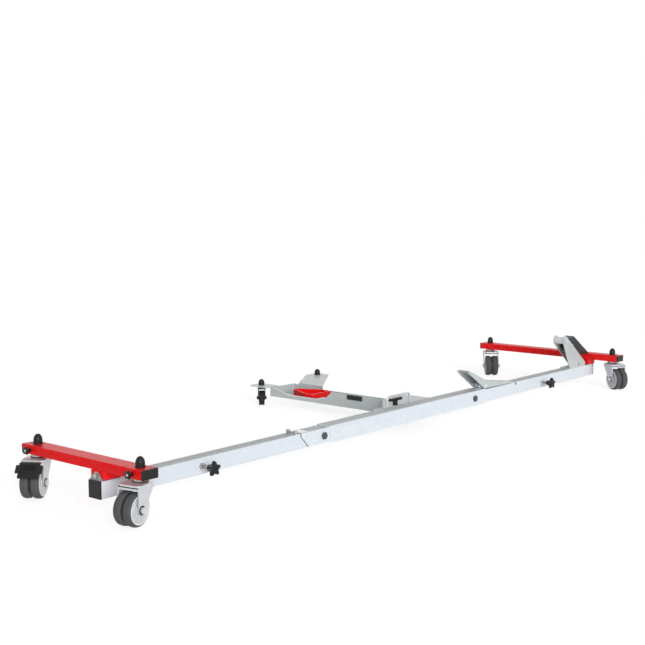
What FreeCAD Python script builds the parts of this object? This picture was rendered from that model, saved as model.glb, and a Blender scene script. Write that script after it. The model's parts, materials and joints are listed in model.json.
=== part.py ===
"""Motorcycle mover dolly: a folding rail on castors, with a wheel stop, a rocker and a side arm for the stand.

Lengths are millimetres. +X runs to the end with the wheel stop, +Y to the side arm and +Z up.
The origin lies on the floor, under the middle of the dolly's outer box.
"""
import FreeCAD, Part
import math
import os
import re
import Sketcher

SIZES = {
    # General clearances and the overrun of every cut
    "overrun": 2.0, "fit_gap": 0.05, "plug_gap": 0.1, "seat_gap": 0.3,
    # Rails: square tube, telescoping over a tongue
    "rail_width": 40.0, "rail_wall": 2.5, "rail_corner": 3.0, "rail_top": 79.0,
    "rear_overhang": 30.0, "front_overhang": 18.0, "slide_gap": 0.3, "tongue_wall": 3.0,
    "rear_tongue_length": 675.0, "front_tongue_length": 640.0, "tongue_solid_end": 36.0,
    "rear_tongue_setback": 43.0, "front_tongue_setback": 142.0,
    # Centre sleeve and its two hinge channels
    "sleeve_length": 775.0, "sleeve_wall": 3.0, "sleeve_gap": 0.3,
    "sleeve_skirt": 2.5, "sleeve_corner": 4.0, "channel_wall": 2.5, "channel_inside": 160.0,
    "rear_channel_reach": 112.0, "front_channel_recess": 16.0, "front_channel_length": 140.0,
    "joint_gap": 3.0, "joint_lip": 8.5, "joint_run": 30.0,
    "rear_pivot_out": 21.0, "front_pivot_in": 64.0,
    "pivot_bolt_diameter": 12.0, "pivot_head_across": 18.0, "pivot_head_height": 5.0,
    # Cross beams and the blocks under them
    "beam_width": 45.0, "beam_height": 22.0, "beam_wall": 2.5, "beam_corner": 2.5, "beam_end": 28.0,
    "rear_near_stem": 113.0, "rear_far_stem": 245.0, "front_near_stem": 104.0, "front_far_stem": 408.0,
    "block_length": 50.0, "block_width": 46.0, "block_height": 19.5, "block_corner": 3.0,
    "cap_flange": 4.0, "cap_plug": 12.0, "cap_corner": 1.5,
    "dome_diameter": 21.0, "dome_height": 24.0, "dome_nose": 15.0,
    "gasket": 2.0,
    # End bracket behind the rear block
    "bracket_wall": 3.0, "bracket_height": 19.0, "bracket_tip_width": 8.0, "bracket_bolt_height": 9.5,
    "bolt_diameter": 6.0, "bolt_across": 10.0, "bolt_head": 4.0, "bracket_bolt_length": 20.0,
    # Twin-wheel castors
    "wheel_diameter": 75.0, "wheel_width": 21.0, "wheel_gap": 4.0, "hub_diameter": 64.0, "hub_dish": 2.5,
    "hub_rim": 4.0, "boss_diameter": 20.0, "tread_round": 4.0, "castor_trail": 33.0,
    "fork_gap": 2.0, "leg_wall": 3.0, "leg_end_diameter": 20.0, "crown_wall": 4.0, "crown_length": 56.0,
    "crown_lip": 7.0, "lip_wall": 5.0, "lip_groove": 2.5, "lip_groove_depth": 2.5, "crown_corner": 8.0,
    "race_height": 8.0, "race_diameter": 34.0, "race_neck_diameter": 28.0,
    "stem_diameter": 12.0, "rivet_diameter": 24.0, "rivet_height": 4.0, "axle_diameter": 8.0,
    "axle_across": 13.0, "axle_head": 5.0,
    "rear_near_turn": 12.0, "rear_far_turn": 34.0, "front_near_turn": 60.0, "front_far_turn": 40.0,
    "no_turn": 0.0,
    # Brake pedal on the far rear castor
    "pedal_width": 50.0, "pedal_reach": 24.0, "pedal_wall": 5.0, "pedal_drop": 27.0, "pedal_barrel": 11.0,
    "pedal_tab_length": 12.0, "pedal_tab_out": 7.0, "pedal_tab_wall": 4.0, "pedal_tab_from": 7.0,
    "pedal_pin_diameter": 6.0, "pedal_gap": 2.0, "pedal_clear": 6.5,
    # Star knobs
    "star_lobes": 5.0, "lobe_share": 0.3, "lobe_ring_share": 0.7,
    "rail_knob_diameter": 37.0, "rail_knob_height": 16.0, "rail_knob_out": 32.0, "clamp_stud_diameter": 8.0,
    "clamp_nut_across": 15.0, "clamp_nut_height": 8.0,
    "rear_knob_from_stem": 269.0, "front_knob_from_stem": 365.0,
    "stem_knob_diameter": 20.0, "stem_knob_height": 9.0, "stem_knob_out": 6.0, "stem_stud_diameter": 6.0,
    # Upright set screws near the rear rail's inner end
    "set_screw_back": 12.0, "set_screw_spread": 26.0, "set_screw_height": 10.0,
    # Rocker on the sleeve's front end
    "rocker_pivot_back": 4.0, "rocker_pivot_height": 10.0, "rocker_width": 44.0, "rocker_wall": 3.0,
    "rocker_hub": 9.0, "rocker_tail": 107.0, "rocker_tail_angle": 33.0, "rocker_front": 172.0,
    "rocker_tip": 8.0, "rocker_valley_ahead": 16.0, "rocker_valley_rise": 13.0, "rocker_front_drop": 2.5,
    "rocker_pin_diameter": 8.0, "rocker_ear_gap": 14.0, "rocker_ear_wall": 3.0, "rocker_base_wall": 2.0,
    "rocker_base_length": 44.0, "rocker_ear_radius": 7.0, "rocker_pin_head": 13.0,
    # Front wheel stop
    "stop_wall": 3.0, "stop_head_back": 194.0, "stop_head_height": 104.5, "stop_head_radius": 16.0,
    "stop_heel_back": 157.0, "stop_far_heel_back": 87.0, "stop_toe_back": 44.0, "stop_toe_height": 13.0,
    "roller_diameter": 25.0, "roller_pin_diameter": 8.0, "stop_bolt_pitch": 60.0,
    "strut_reach": 12.0, "strut_tip_back": 105.0, "strut_tip_height": 73.0, "strut_top_back": 128.0,
    "strut_top_height": 66.0, "strut_side_back": 146.0, "strut_side_height": 36.0, "strut_heel_back": 80.0,
    "strut_bolt_back": 127.0, "strut_bolt_height": 41.0, "stop_front_turn": 45.0,
    "stop_rear_turn": 27.0, "stop_far_rear_turn": 45.0,
    # Side arm: a pressed trough with a raised end flange
    "arm_along": 437.0, "arm_width": 118.0, "arm_wall": 3.0, "arm_floor": 33.5, "arm_root_rise": 42.0,
    "arm_tray_rise": 20.0, "arm_step_ahead": 90.0, "arm_step_run": 25.0, "arm_end_back": 47.0,
    "arm_end_run": 80.0,
    "arm_reach": 643.0, "arm_flange": 28.0, "arm_plate_top": 64.5, "arm_castor_along": 8.0,
    "arm_castor_pitch": 287.0, "gusset_back": 140.0, "gusset_deep": 110.0,
    "branch_back": 126.0, "branch_width": 105.0,
    "socket_length": 130.0, "socket_depth": 44.0, "socket_height": 10.0,
    "pad_length": 117.0, "pad_width": 92.0, "pad_height": 20.0, "pad_wall": 6.0, "pad_floor": 7.0,
    "pad_end_gap": 56.0, "pad_nose": 80.0, "pad_nose_width": 14.0, "pad_corner": 4.0,
    "patch_shift": 6.85, "patch_length": 58.0, "patch_height": 15.0, "patch_wall": 3.0,
    # Bail and T knob on the arm's root
    "bail_diameter": 6.0, "bail_span": 108.0, "bail_bend": 9.0, "bail_rise": 35.0, "bail_drop": 22.0,
    "bail_across": 28.0, "bail_back": 114.0,
    "tee_length": 56.0, "tee_width": 11.0, "tee_height": 8.0, "tee_stem_diameter": 15.0, "tee_stem": 13.0,
    "tee_stud_diameter": 8.0, "tee_across": 50.0, "tee_back": 46.0,
    # Small castors under the arm
    "small_wheel_diameter": 48.0, "small_wheel_width": 18.0, "small_trail": 14.0, "small_race": 5.0,
    "small_race_diameter": 30.0, "small_crown": 3.0, "small_crown_length": 34.0, "small_stem_diameter": 10.0,
    "small_axle_diameter": 6.0, "small_leg_end": 15.0, "small_leg_wall": 2.5, "small_rivet_diameter": 18.0,
    "small_rivet_height": 2.5, "small_dome_diameter": 20.0, "small_dome_height": 20.0,
    "small_dome_nose": 12.0, "small_hub_groove": 2.0, "small_hub_diameter": 26.0, "small_turn": 45.0,
}

PLACES = {
    # The dolly's length: rear tongue, sleeve and front tongue, each with its setback from the stems
    "sleeve_from_rear": "rear_tongue_setback + rear_tongue_length + rear_pivot_out",
    "front_from_sleeve": "front_tongue_length - front_pivot_in + front_tongue_setback",
    "stem_pitch": "sleeve_from_rear + sleeve_length + front_from_sleeve",
    # A castor's own places, measured from its stem
    "crown_back": "-castor_trail - leg_end_diameter / 2",
    "crown_ahead": "crown_back + crown_length",
    "pedal_x": "crown_back - pedal_gap - pedal_barrel / 2",
    "wheels_half": "wheel_width + wheel_gap / 2",
    "tread_share": "tread_round * (1 - cos(45))",
    # Where the dolly's ends and sides lie: the pedal, the front knobs, a turned wheel and the arm's flange
    "rear_reach": "stem_pitch / 2 + (pedal_reach - pedal_x) * cos(rear_far_turn)"
                  " + pedal_width / 2 * sin(rear_far_turn)",
    "front_reach": "stem_pitch / 2 + beam_width / 2 + stem_knob_out + stem_knob_height",
    "near_reach": "front_near_stem + (castor_trail + wheel_diameter / 2 - tread_share) * sin(front_near_turn)"
                  " + (wheels_half - tread_share) * cos(front_near_turn)",
    "far_reach": "arm_reach + arm_flange",
    "rear_x": "(rear_reach - front_reach) / 2 - stem_pitch / 2",
    "front_x": "rear_x + stem_pitch",
    "rail_y": "(near_reach - far_reach) / 2",
    "rail_half": "rail_width / 2",
    "rail_bottom": "rail_top - rail_width",
    "rail_mid": "rail_top - rail_width / 2",
    "rail_near": "rail_y - rail_half",
    "rail_bore": "rail_width - 2 * rail_wall",
    "beam_low": "rail_top + block_height",
    "beam_mid": "beam_low + beam_height / 2",
    "beam_high": "beam_low + beam_height",
    "sleeve_inner": "rail_width + 2 * sleeve_gap",
    "sleeve_outer": "sleeve_inner + 2 * sleeve_wall",
    "sleeve_ceiling": "rail_top + sleeve_gap",
    "sleeve_top": "sleeve_ceiling + sleeve_wall",
    "sleeve_low": "rail_bottom - sleeve_skirt",
    "sleeve_rear": "rear_x + sleeve_from_rear",
    "sleeve_front": "sleeve_rear + sleeve_length",
    "sleeve_far": "rail_y + sleeve_outer / 2",
    "rear_pivot": "sleeve_rear - rear_pivot_out",
    "front_pivot": "sleeve_front - front_pivot_in",
    "channel_rear": "sleeve_rear - rear_channel_reach",
    "rear_joint": "channel_rear - joint_gap",
    "front_joint": "sleeve_front + joint_gap",
    "joint_slope": "joint_run / (rail_width - joint_lip)",
    "tongue_width": "rail_bore - 2 * slide_gap",
    "rail_rear_end": "rear_x - rear_overhang",
    "rail_front_end": "front_x + front_overhang",
    "rear_knob_x": "rear_x + rear_knob_from_stem",
    "front_knob_x": "front_x - front_knob_from_stem",
    "crown_top": "beam_low - race_height",
    "crown_under": "crown_top - crown_wall",
    "axle_high": "wheel_diameter / 2",
    "leg_inner": "wheels_half + fork_gap",
    "leg_outer": "leg_inner + leg_wall",
    "pedal_z": "wheel_diameter + pedal_clear",
    "rocker_x": "sleeve_front - rocker_pivot_back",
    "rocker_z": "sleeve_top + rocker_pivot_height",
    "stop_inner": "rail_width - 2 * stop_wall",
    "stop_x": "front_x - stop_head_back",
    "stop_z": "rail_top + stop_head_height",
    "strut_x": "front_x - beam_width / 2",
    "arm_x": "sleeve_rear + arm_along",
    "arm_front": "arm_x + arm_width",
    "arm_end": "arm_reach - arm_end_back",
    "pad_from": "arm_end - pad_end_gap - pad_length",
    "arm_step_from": "pad_from - arm_step_ahead",
    "patch_from": "(sleeve_outer / 2 + gusset_deep + arm_step_from - patch_length) / 2 + patch_shift",
    "branch_from": "arm_end - branch_back",
    "branch_to": "branch_from + branch_width",
    "arm_high": "arm_floor + arm_root_rise",
    "arm_tray": "arm_floor + arm_tray_rise",
    "arm_castor_x": "arm_x + arm_castor_along",
    "arm_second_x": "arm_castor_x + arm_castor_pitch",
    "arm_castor_y": "rail_y + arm_reach",
    "arm_plate_low": "arm_plate_top - arm_wall",
    "plate_under": "arm_high - arm_wall",
    "small_crown_top": "arm_plate_low - small_race",
    "small_axle": "small_wheel_diameter / 2",
    "small_leg_inner": "small_wheel_width / 2 + fork_gap / 2",
    "small_leg_outer": "small_leg_inner + small_leg_wall",
    "pad_x": "arm_x + arm_width / 2",
    "pad_y": "rail_y + pad_from",
    "pad_low": "arm_floor + arm_wall",
    "bail_x": "arm_x - bail_back",
    "bail_y": "rail_y + bail_across",
    "tee_x": "arm_x - tee_back",
    "tee_y": "rail_y + tee_across",
}

PLANES = {
    "XY": FreeCAD.Rotation(),
    "XZ": FreeCAD.Rotation(FreeCAD.Vector(1, 0, 0), 90),
    "YZ": FreeCAD.Rotation(0.5, 0.5, 0.5, 0.5),
}
TURNS = {
    "X": FreeCAD.Rotation(FreeCAD.Vector(0, 1, 0), 90),
    "Y": FreeCAD.Rotation(FreeCAD.Vector(1, 0, 0), -90),
    "Z": FreeCAD.Rotation(),
}
DIRECTIONS = {"X": FreeCAD.Vector(1, 0, 0), "Y": FreeCAD.Vector(0, 1, 0), "Z": FreeCAD.Vector(0, 0, 1)}
NAME = re.compile(r"[a-z]+(?:_[a-z]+)*")

doc = FreeCAD.newDocument("MotorcycleMover")
pieces = []


# Sheets and bound values

def refer(formula, own_sheet=""):
    """The formula with each size or place named through its sheet."""
    def through_sheet(match):
        word = match.group()
        if word in SIZES:
            return "Sizes." + word
        if word in PLACES:
            return word if own_sheet == "Places" else "Places." + word
        return word
    return NAME.sub(through_sheet, formula)


def fill_sheet(label, contents):
    sheet = doc.addObject("Spreadsheet::Sheet", label)
    for row, (name, content) in enumerate(contents.items(), start=1):
        sheet.set(f"A{row}", name)
        sheet.set(f"B{row}", content)
        sheet.setAlias(f"B{row}", name)
    return sheet


sizes = fill_sheet("Sizes", {name: str(value) for name, value in SIZES.items()})
doc.recompute()
places = fill_sheet("Places", {name: "=" + refer(formula, "Places") for name, formula in PLACES.items()})
doc.recompute()


def number(name):
    return float(sizes.get(name) if name in SIZES else places.get(name))


def bind(obj, formulas):
    for prop, formula in formulas.items():
        obj.setExpression(prop, refer(formula))


def place(obj, point, rotation=FreeCAD.Rotation()):
    obj.Placement = FreeCAD.Placement(FreeCAD.Vector(), rotation)
    bind(obj, {f"Placement.Base.{axis}": formula for axis, formula in zip("xyz", point) if formula != "0"})
    return obj


# Shapes

def box(name, size, low):
    obj = doc.addObject("Part::Box", name)
    bind(obj, dict(zip(("Length", "Width", "Height"), size)))
    return place(obj, low)


def rod(name, diameter, length, start, axis):
    obj = doc.addObject("Part::Cylinder", name)
    bind(obj, {"Radius": f"({diameter}) / 2", "Height": length})
    return place(obj, start, TURNS[axis])


def hexagon(name, across, length, start, axis):
    obj = doc.addObject("Part::Prism", name)
    obj.Polygon = 6
    bind(obj, {"Circumradius": f"({across}) / sqrt(3)", "Height": length})
    return place(obj, start, TURNS[axis])


def cone(name, lower_diameter, upper_diameter, height, start):
    obj = doc.addObject("Part::Cone", name)
    bind(obj, {"Radius1": f"({lower_diameter}) / 2", "Radius2": f"({upper_diameter}) / 2", "Height": height})
    return place(obj, start)


def sketch(name, points, base, rotation):
    """A closed outline of straight lines whose corners are bound to the sheets."""
    obj = doc.addObject("Sketcher::SketchObject", name)
    count = len(points)
    turns = [2 * math.pi * index / count for index in range(count)]
    corners = [FreeCAD.Vector(math.cos(turn), math.sin(turn), 0) for turn in turns]
    for here, there in zip(corners, corners[1:] + corners[:1]):
        obj.addGeometry(Part.LineSegment(here, there))
    for line in range(count):
        obj.addConstraint(Sketcher.Constraint("Coincident", line, 2, (line + 1) % count, 1))
    for line, (point, corner) in enumerate(zip(points, corners)):
        for kind, formula, start in zip(("DistanceX", "DistanceY"), point, (corner.x, corner.y)):
            index = obj.addConstraint(Sketcher.Constraint(kind, -1, 1, line, 1, start))
            obj.setExpression(f"Constraints[{index}]", refer(formula))
    return place(obj, base, rotation)


def prism(name, plane, points, depth, base, reverse=False):
    """An outline swept along its plane's normal: +Z for XY, -Y for XZ and +X for YZ."""
    obj = doc.addObject("Part::Extrusion", name)
    obj.Base = sketch(name + "_outline", points, base, PLANES[plane])
    obj.DirMode = "Normal"
    obj.Solid = True
    obj.Reversed = reverse
    bind(obj, {"LengthFwd": depth})
    return obj


def fuse(name, *parts):
    obj = doc.addObject("Part::MultiFuse", name)
    obj.Shapes = list(parts)
    obj.Refine = True
    return obj


def cut(name, base, *tools):
    obj = doc.addObject("Part::Cut", name)
    obj.Base = base
    obj.Tool = tools[0] if len(tools) == 1 else fuse(name + "_tools", *tools)
    return obj


def group(name, *parts):
    obj = doc.addObject("Part::Compound", name)
    obj.Links = list(parts)
    return obj


def mirrored(name, source, normal, base):
    obj = doc.addObject("Part::Mirroring", name)
    obj.Source = source
    obj.Normal = DIRECTIONS[normal]
    for part, formula in zip("xyz", base):
        if formula != "0":
            bind(obj, {f"Base.{part}": formula})
    return obj


def rounded(name, base, radius, axis):
    """Rounds every straight edge that runs along the axis."""
    doc.recompute()
    along = DIRECTIONS[axis]
    chosen = []
    for index, edge in enumerate(base.Shape.Edges, start=1):
        ends = [vertex.Point for vertex in edge.Vertexes]
        if len(ends) == 2 and edge.Curve.TypeId == "Part::GeomLine":
            if (ends[1] - ends[0]).cross(along).Length < edge.Length * 1e-6:
                chosen.append((index, number(radius), number(radius)))
    obj = doc.addObject("Part::Fillet", name)
    obj.Base = base
    obj.Edges = chosen
    return obj


def finish(label, obj):
    obj.Label = label
    pieces.append(obj)
    return obj


def square_tube(name, length, width, height, low, wall, corner, axis):
    """A tube of rectangular section with rounded outer corners, open at both ends."""
    outer_size = [length, width, height] if axis == "X" else [width, length, height]
    outer = rounded(name + "_skin", box(name + "_stock", outer_size, low), corner, axis)
    long_way = "XYZ".index(axis)
    bore_size = [f"{size} - 2 * {wall}" for size in outer_size]
    bore_low = [f"{value} + {wall}" for value in low]
    bore_size[long_way] = f"{outer_size[long_way]} + 2 * overrun"
    bore_low[long_way] = f"{low[long_way]} - overrun"
    return outer, box(name + "_bore", bore_size, bore_low)


# Centre section

def centre_sleeve():
    length = "sleeve_length"
    stock = box("sleeve_stock", (length, "sleeve_outer", "sleeve_top - sleeve_low"),
                ("sleeve_rear", "rail_y - sleeve_outer / 2", "sleeve_low"))
    skin = rounded("sleeve_skin", stock, "sleeve_corner", "X")
    feet = box("sleeve_feet", (length, "sleeve_outer", "sleeve_corner"),
               ("sleeve_rear", "rail_y - sleeve_outer / 2", "sleeve_low"))
    inside = box("sleeve_inside", (f"{length} + 2 * overrun", "sleeve_inner",
                                   "sleeve_ceiling - sleeve_low + overrun"),
                 ("sleeve_rear - overrun", "rail_y - sleeve_inner / 2", "sleeve_low - overrun"))
    hole = rod("sleeve_pivot_hole", "pivot_bolt_diameter + 2 * fit_gap", "sleeve_outer + 2 * overrun",
               ("front_pivot", "rail_y - sleeve_outer / 2 - overrun", "rail_mid"), "Y")
    finish("centre_sleeve", cut("centre_sleeve", fuse("sleeve_body", skin, feet), inside, hole))


def hinge_channel(label, start, length, pivot, slanted):
    """An inverted U that holds one tongue, welded inside the sleeve."""
    low = (start, "rail_y - sleeve_inner / 2", "rail_bottom")
    stock = box(label + "_stock", (length, "sleeve_inner", "sleeve_ceiling - rail_bottom"), low)
    inside = box(label + "_inside",
                 (f"{length} + 2 * overrun", "sleeve_inner - 2 * channel_wall",
                  "sleeve_ceiling - rail_bottom - channel_wall + overrun"),
                 (f"{start} - overrun", "rail_y - sleeve_inner / 2 + channel_wall", "rail_bottom - overrun"))
    hole = rod(label + "_hole", "pivot_bolt_diameter + 2 * fit_gap", "sleeve_inner + 2 * overrun",
               (pivot, "rail_y - sleeve_inner / 2 - overrun", "rail_mid"), "Y")
    tools = [inside, hole]
    if slanted:
        corner = [(f"{start} - overrun", "rail_top - joint_lip"), (start, "rail_top - joint_lip"),
                  (f"{start} + joint_run + overrun * joint_slope", "rail_bottom - overrun"),
                  (f"{start} - overrun", "rail_bottom - overrun")]
        tools.append(prism(label + "_slant", "XZ", corner, "sleeve_inner + 2 * overrun",
                           ("0", "rail_y + sleeve_inner / 2 + overrun", "0")))
    finish(label, cut(label, stock, *tools))


def pivot_bolt(name, pivot, grip):
    """A cross bolt with a head on the near side and a nut on the far side."""
    shank = rod(name + "_shank", "pivot_bolt_diameter", f"{grip} + 2 * pivot_head_height",
                (pivot, f"rail_y - ({grip}) / 2 - pivot_head_height", "rail_mid"), "Y")
    head = hexagon(name + "_head", "pivot_head_across", "pivot_head_height",
                   (pivot, f"rail_y - ({grip}) / 2 - pivot_head_height", "rail_mid"), "Y")
    nut = hexagon(name + "_nut", "pivot_head_across", "pivot_head_height",
                  (pivot, f"rail_y + ({grip}) / 2", "rail_mid"), "Y")
    return fuse(name, shank, head, nut)


def centre_section():
    centre_sleeve()
    hinge_channel("rear_hinge_channel", "channel_rear", "rear_channel_reach + channel_inside", "rear_pivot",
                  True)
    hinge_channel("front_hinge_channel", "sleeve_front - front_channel_recess - front_channel_length",
                  "front_channel_length", "front_pivot", False)
    finish("pivot_bolts", group("pivot_bolts", pivot_bolt("rear_pivot_bolt", "rear_pivot", "sleeve_inner"),
                                pivot_bolt("front_pivot_bolt", "front_pivot", "sleeve_outer")))


def tongue(label, pivot, length, side):
    """The bar that a rail slides on, with a round solid end on its pivot bolt."""
    start = pivot if side > 0 else f"{pivot} - {length}"
    low = "rail_y - tongue_width / 2"
    bar = box(label + "_bar", (length, "tongue_width", "tongue_width"),
              (start, low, "rail_mid - tongue_width / 2"))
    eye = rod(label + "_eye", "tongue_width", "tongue_width", (pivot, low, "rail_mid"), "Y")
    bore_start = f"{pivot} + tongue_solid_end" if side > 0 else f"{start} - overrun"
    bore = box(label + "_bore",
               (f"{length} - tongue_solid_end + overrun", "tongue_width - 2 * tongue_wall",
                "tongue_width - 2 * tongue_wall"),
               (bore_start, f"{low} + tongue_wall", "rail_mid - tongue_width / 2 + tongue_wall"))
    hole = rod(label + "_hole", "pivot_bolt_diameter + 2 * fit_gap", "tongue_width + 2 * overrun",
               (pivot, f"{low} - overrun", "rail_mid"), "Y")
    finish(label, cut(label, fuse(label + "_whole", bar, eye), bore, hole))


# Rails, blocks and beams

def stud_hole(name, knob):
    return rod(name, "clamp_stud_diameter + 2 * fit_gap", "rail_wall + 2 * overrun",
               (knob, "rail_near - overrun", "rail_mid"), "Y")


def set_screw_spots():
    return [("rear_joint - set_screw_back", f"rail_y {sign} set_screw_spread / 2") for sign in "-+"]


def rear_rail():
    length = "rear_joint + joint_run - rail_rear_end"
    skin, bore = square_tube("rear_rail", length, "rail_width", "rail_width",
                             ("rail_rear_end", "rail_near", "rail_bottom"), "rail_wall", "rail_corner", "X")
    beyond = "rear_joint + joint_run + 2 * overrun"
    slant = [("rear_joint", "rail_top + overrun"), ("rear_joint", "rail_top - joint_lip"),
             ("rear_joint + joint_run + overrun * joint_slope", "rail_bottom - overrun"),
             (beyond, "rail_bottom - overrun"), (beyond, "rail_top + overrun")]
    end = prism("rear_rail_slant", "XZ", slant, "rail_width + 2 * overrun",
                ("0", "rail_y + rail_half + overrun", "0"))
    holes = [rod(f"set_screw_hole_{index}", "bolt_diameter + 2 * fit_gap", "rail_wall + 2 * overrun",
                 (x, y, "rail_top - rail_wall - overrun"), "Z")
             for index, (x, y) in enumerate(set_screw_spots())]
    finish("rear_rail", cut("rear_rail", skin, bore, end, stud_hole("rear_stud_hole", "rear_knob_x"), *holes))


def front_rail():
    length = "rail_front_end - front_joint"
    skin, bore = square_tube("front_rail", length, "rail_width", "rail_width",
                             ("front_joint", "rail_near", "rail_bottom"), "rail_wall", "rail_corner", "X")
    holes = [rod(f"stop_bolt_hole_{index}", "bolt_diameter + 2 * fit_gap", "rail_wall + 2 * overrun",
                 (x, "rail_y", "rail_top - rail_wall - overrun"), "Z")
             for index, x in enumerate(stop_bolt_places())]
    finish("front_rail", cut("front_rail", skin, bore, stud_hole("front_stud_hole", "front_knob_x"), *holes))


def rail_plug(label, end, side, block_x):
    """A square plug with a flange over the rail's open end, and the black strip under the block beside it."""
    flange_low = f"{end} - cap_flange" if side < 0 else end
    flange = box(label + "_flange", ("cap_flange", "rail_width", "rail_width"),
                 (flange_low, "rail_near", "rail_bottom"))
    plug_low = end if side < 0 else f"{end} - cap_plug"
    inset = "rail_wall + plug_gap"
    plug = box(label + "_plug", ("cap_plug", "rail_bore - 2 * plug_gap", "rail_bore - 2 * plug_gap"),
               (plug_low, f"rail_near + {inset}", f"rail_bottom + {inset}"))
    strip = box(label + "_strip", ("block_length", "rail_width", "gasket"),
                (f"{block_x} - block_length / 2", "rail_near", "rail_top"))
    whole = fuse(label + "_whole", rounded(label + "_round", flange, "cap_corner", "X"), plug)
    finish(label, group(label, whole, strip))


def block(label, x, drilled):
    stock = box(label + "_stock", ("block_length", "block_width", "block_height - gasket"),
                (f"{x} - block_length / 2", "rail_y - block_width / 2", "rail_top + gasket"))
    body = rounded(label + "_round", stock, "block_corner", "Z")
    if drilled:
        hole = rod(label + "_hole", "bolt_diameter + 2 * fit_gap", "bracket_bolt_length + overrun",
                   (f"{x} - block_length / 2 - overrun", "rail_y", "rail_top + bracket_bolt_height"), "X")
        body = cut(label, body, hole)
    finish(label, body)


def stems_of(end):
    return [f"rail_y - {end}_near_stem", f"rail_y + {end}_far_stem"]


def beam(end, x, side):
    """A red cross beam with its end caps and dome caps, bored for two castor stems and their clamp studs."""
    near, far = stems_of(end)
    low_y = f"{near} - beam_end"
    length = f"{end}_near_stem + {end}_far_stem + 2 * beam_end"
    low = (f"{x} - beam_width / 2", low_y, "beam_low")
    skin, bore = square_tube(f"{end}_beam", length, "beam_width", "beam_height", low, "beam_wall",
                             "beam_corner", "Y")
    tools = [bore]
    outer_wall = f"{x} - beam_width / 2" if side < 0 else f"{x} + beam_width / 2 - beam_wall"
    for spot, y in zip(("near", "far"), (near, far)):
        tools.append(rod(f"{end}_{spot}_stem_hole", "stem_diameter + 2 * fit_gap",
                         "beam_height + 2 * overrun", (x, y, "beam_low - overrun"), "Z"))
        tools.append(rod(f"{end}_{spot}_stud_hole", "stem_stud_diameter + 2 * fit_gap",
                         "beam_wall + 2 * overrun", (f"{outer_wall} - overrun", y, "beam_mid"), "X"))
    finish(f"{end}_beam", cut(f"{end}_beam", skin, *tools))
    caps = [beam_cap(f"{end}_near_cap", x, low_y, -1), beam_cap(f"{end}_far_cap", x, f"{far} + beam_end", 1)]
    finish(f"{end}_beam_caps", group(f"{end}_beam_caps", *caps))
    domes = [dome(f"{end}_{spot}_dome", (x, y, "beam_high"), "dome_diameter", "dome_height", "dome_nose")
             for spot, y in zip(("near", "far"), (near, far))]
    finish(f"{end}_stem_caps", group(f"{end}_stem_caps", *domes))


def beam_cap(name, x, end, side):
    flange_low = f"{end} - cap_flange" if side < 0 else end
    flange = box(name + "_flange", ("beam_width", "cap_flange", "beam_height"),
                 (f"{x} - beam_width / 2", flange_low, "beam_low"))
    plug_low = end if side < 0 else f"{end} - cap_plug"
    inset = "beam_wall + plug_gap"
    plug = box(name + "_plug", (f"beam_width - 2 * ({inset})", "cap_plug", f"beam_height - 2 * ({inset})"),
               (f"{x} - beam_width / 2 + {inset}", plug_low, f"beam_low + {inset}"))
    return fuse(name, rounded(name + "_round", flange, "cap_corner", "Y"), plug)


def dome(name, foot, diameter, height, nose):
    """A bullet-shaped cap: a straight skirt under the upper half of an ellipsoid."""
    x, y, z = foot
    skirt = rod(name + "_skirt", diameter, f"{height} - {nose}", foot, "Z")
    top = doc.addObject("Part::Ellipsoid", name + "_top")
    bind(top, {"Radius1": nose, "Radius2": f"{diameter} / 2", "Radius3": f"{diameter} / 2"})
    top.Angle1 = 0
    return fuse(name, skirt, place(top, (x, y, f"{z} + {height} - {nose}")))


def rear_end_bracket():
    """A small angle on the rail's end: a foot and a triangular upright, bolted to the red block."""
    face = "rear_x - block_length / 2"
    upright_low = f"{face} - bracket_wall"
    foot = box("bracket_foot", (f"{face} - rail_rear_end", "rail_width", "bracket_wall"),
               ("rail_rear_end", "rail_near", "rail_top"))
    corners = [("rail_near", "rail_top"), ("rail_near + rail_width", "rail_top"),
               ("rail_near + rail_width", "rail_top + bracket_wall"),
               ("rail_y + bracket_tip_width / 2", "rail_top + bracket_height"),
               ("rail_y - bracket_tip_width / 2", "rail_top + bracket_height"),
               ("rail_near", "rail_top + bracket_wall")]
    upright = prism("bracket_upright", "YZ", corners, "bracket_wall", (upright_low, "0", "0"))
    hole = rod("bracket_hole", "bolt_diameter + 2 * fit_gap", "bracket_wall + 2 * overrun",
               (f"{upright_low} - overrun", "rail_y", "rail_top + bracket_bolt_height"), "X")
    finish("rear_end_bracket", cut("rear_end_bracket", fuse("bracket_whole", foot, upright), hole))


def hex_bolt(name, head_start, shank_length, axis, side):
    """A hexagon head whose shank runs on along the axis, towards plus or minus."""
    shank_start = list(head_start)
    if side < 0:
        index = "XYZ".index(axis)
        shank_start[index] = f"{head_start[index]} - ({shank_length})"
    head = hexagon(name + "_head", "bolt_across", "bolt_head", head_start, axis)
    shank = rod(name + "_shank", "bolt_diameter", f"{shank_length} + bolt_head", shank_start, axis)
    return fuse(name, head, shank)


def clamp_nut(name, knob):
    nut = hexagon(name + "_hex", "clamp_nut_across", "clamp_nut_height",
                  (knob, "rail_near - clamp_nut_height", "rail_mid"), "Y")
    hole = rod(name + "_hole", "clamp_stud_diameter + 2 * fit_gap", "clamp_nut_height + 2 * overrun",
               (knob, "rail_near - clamp_nut_height - overrun", "rail_mid"), "Y")
    return cut(name, nut, hole)


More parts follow.
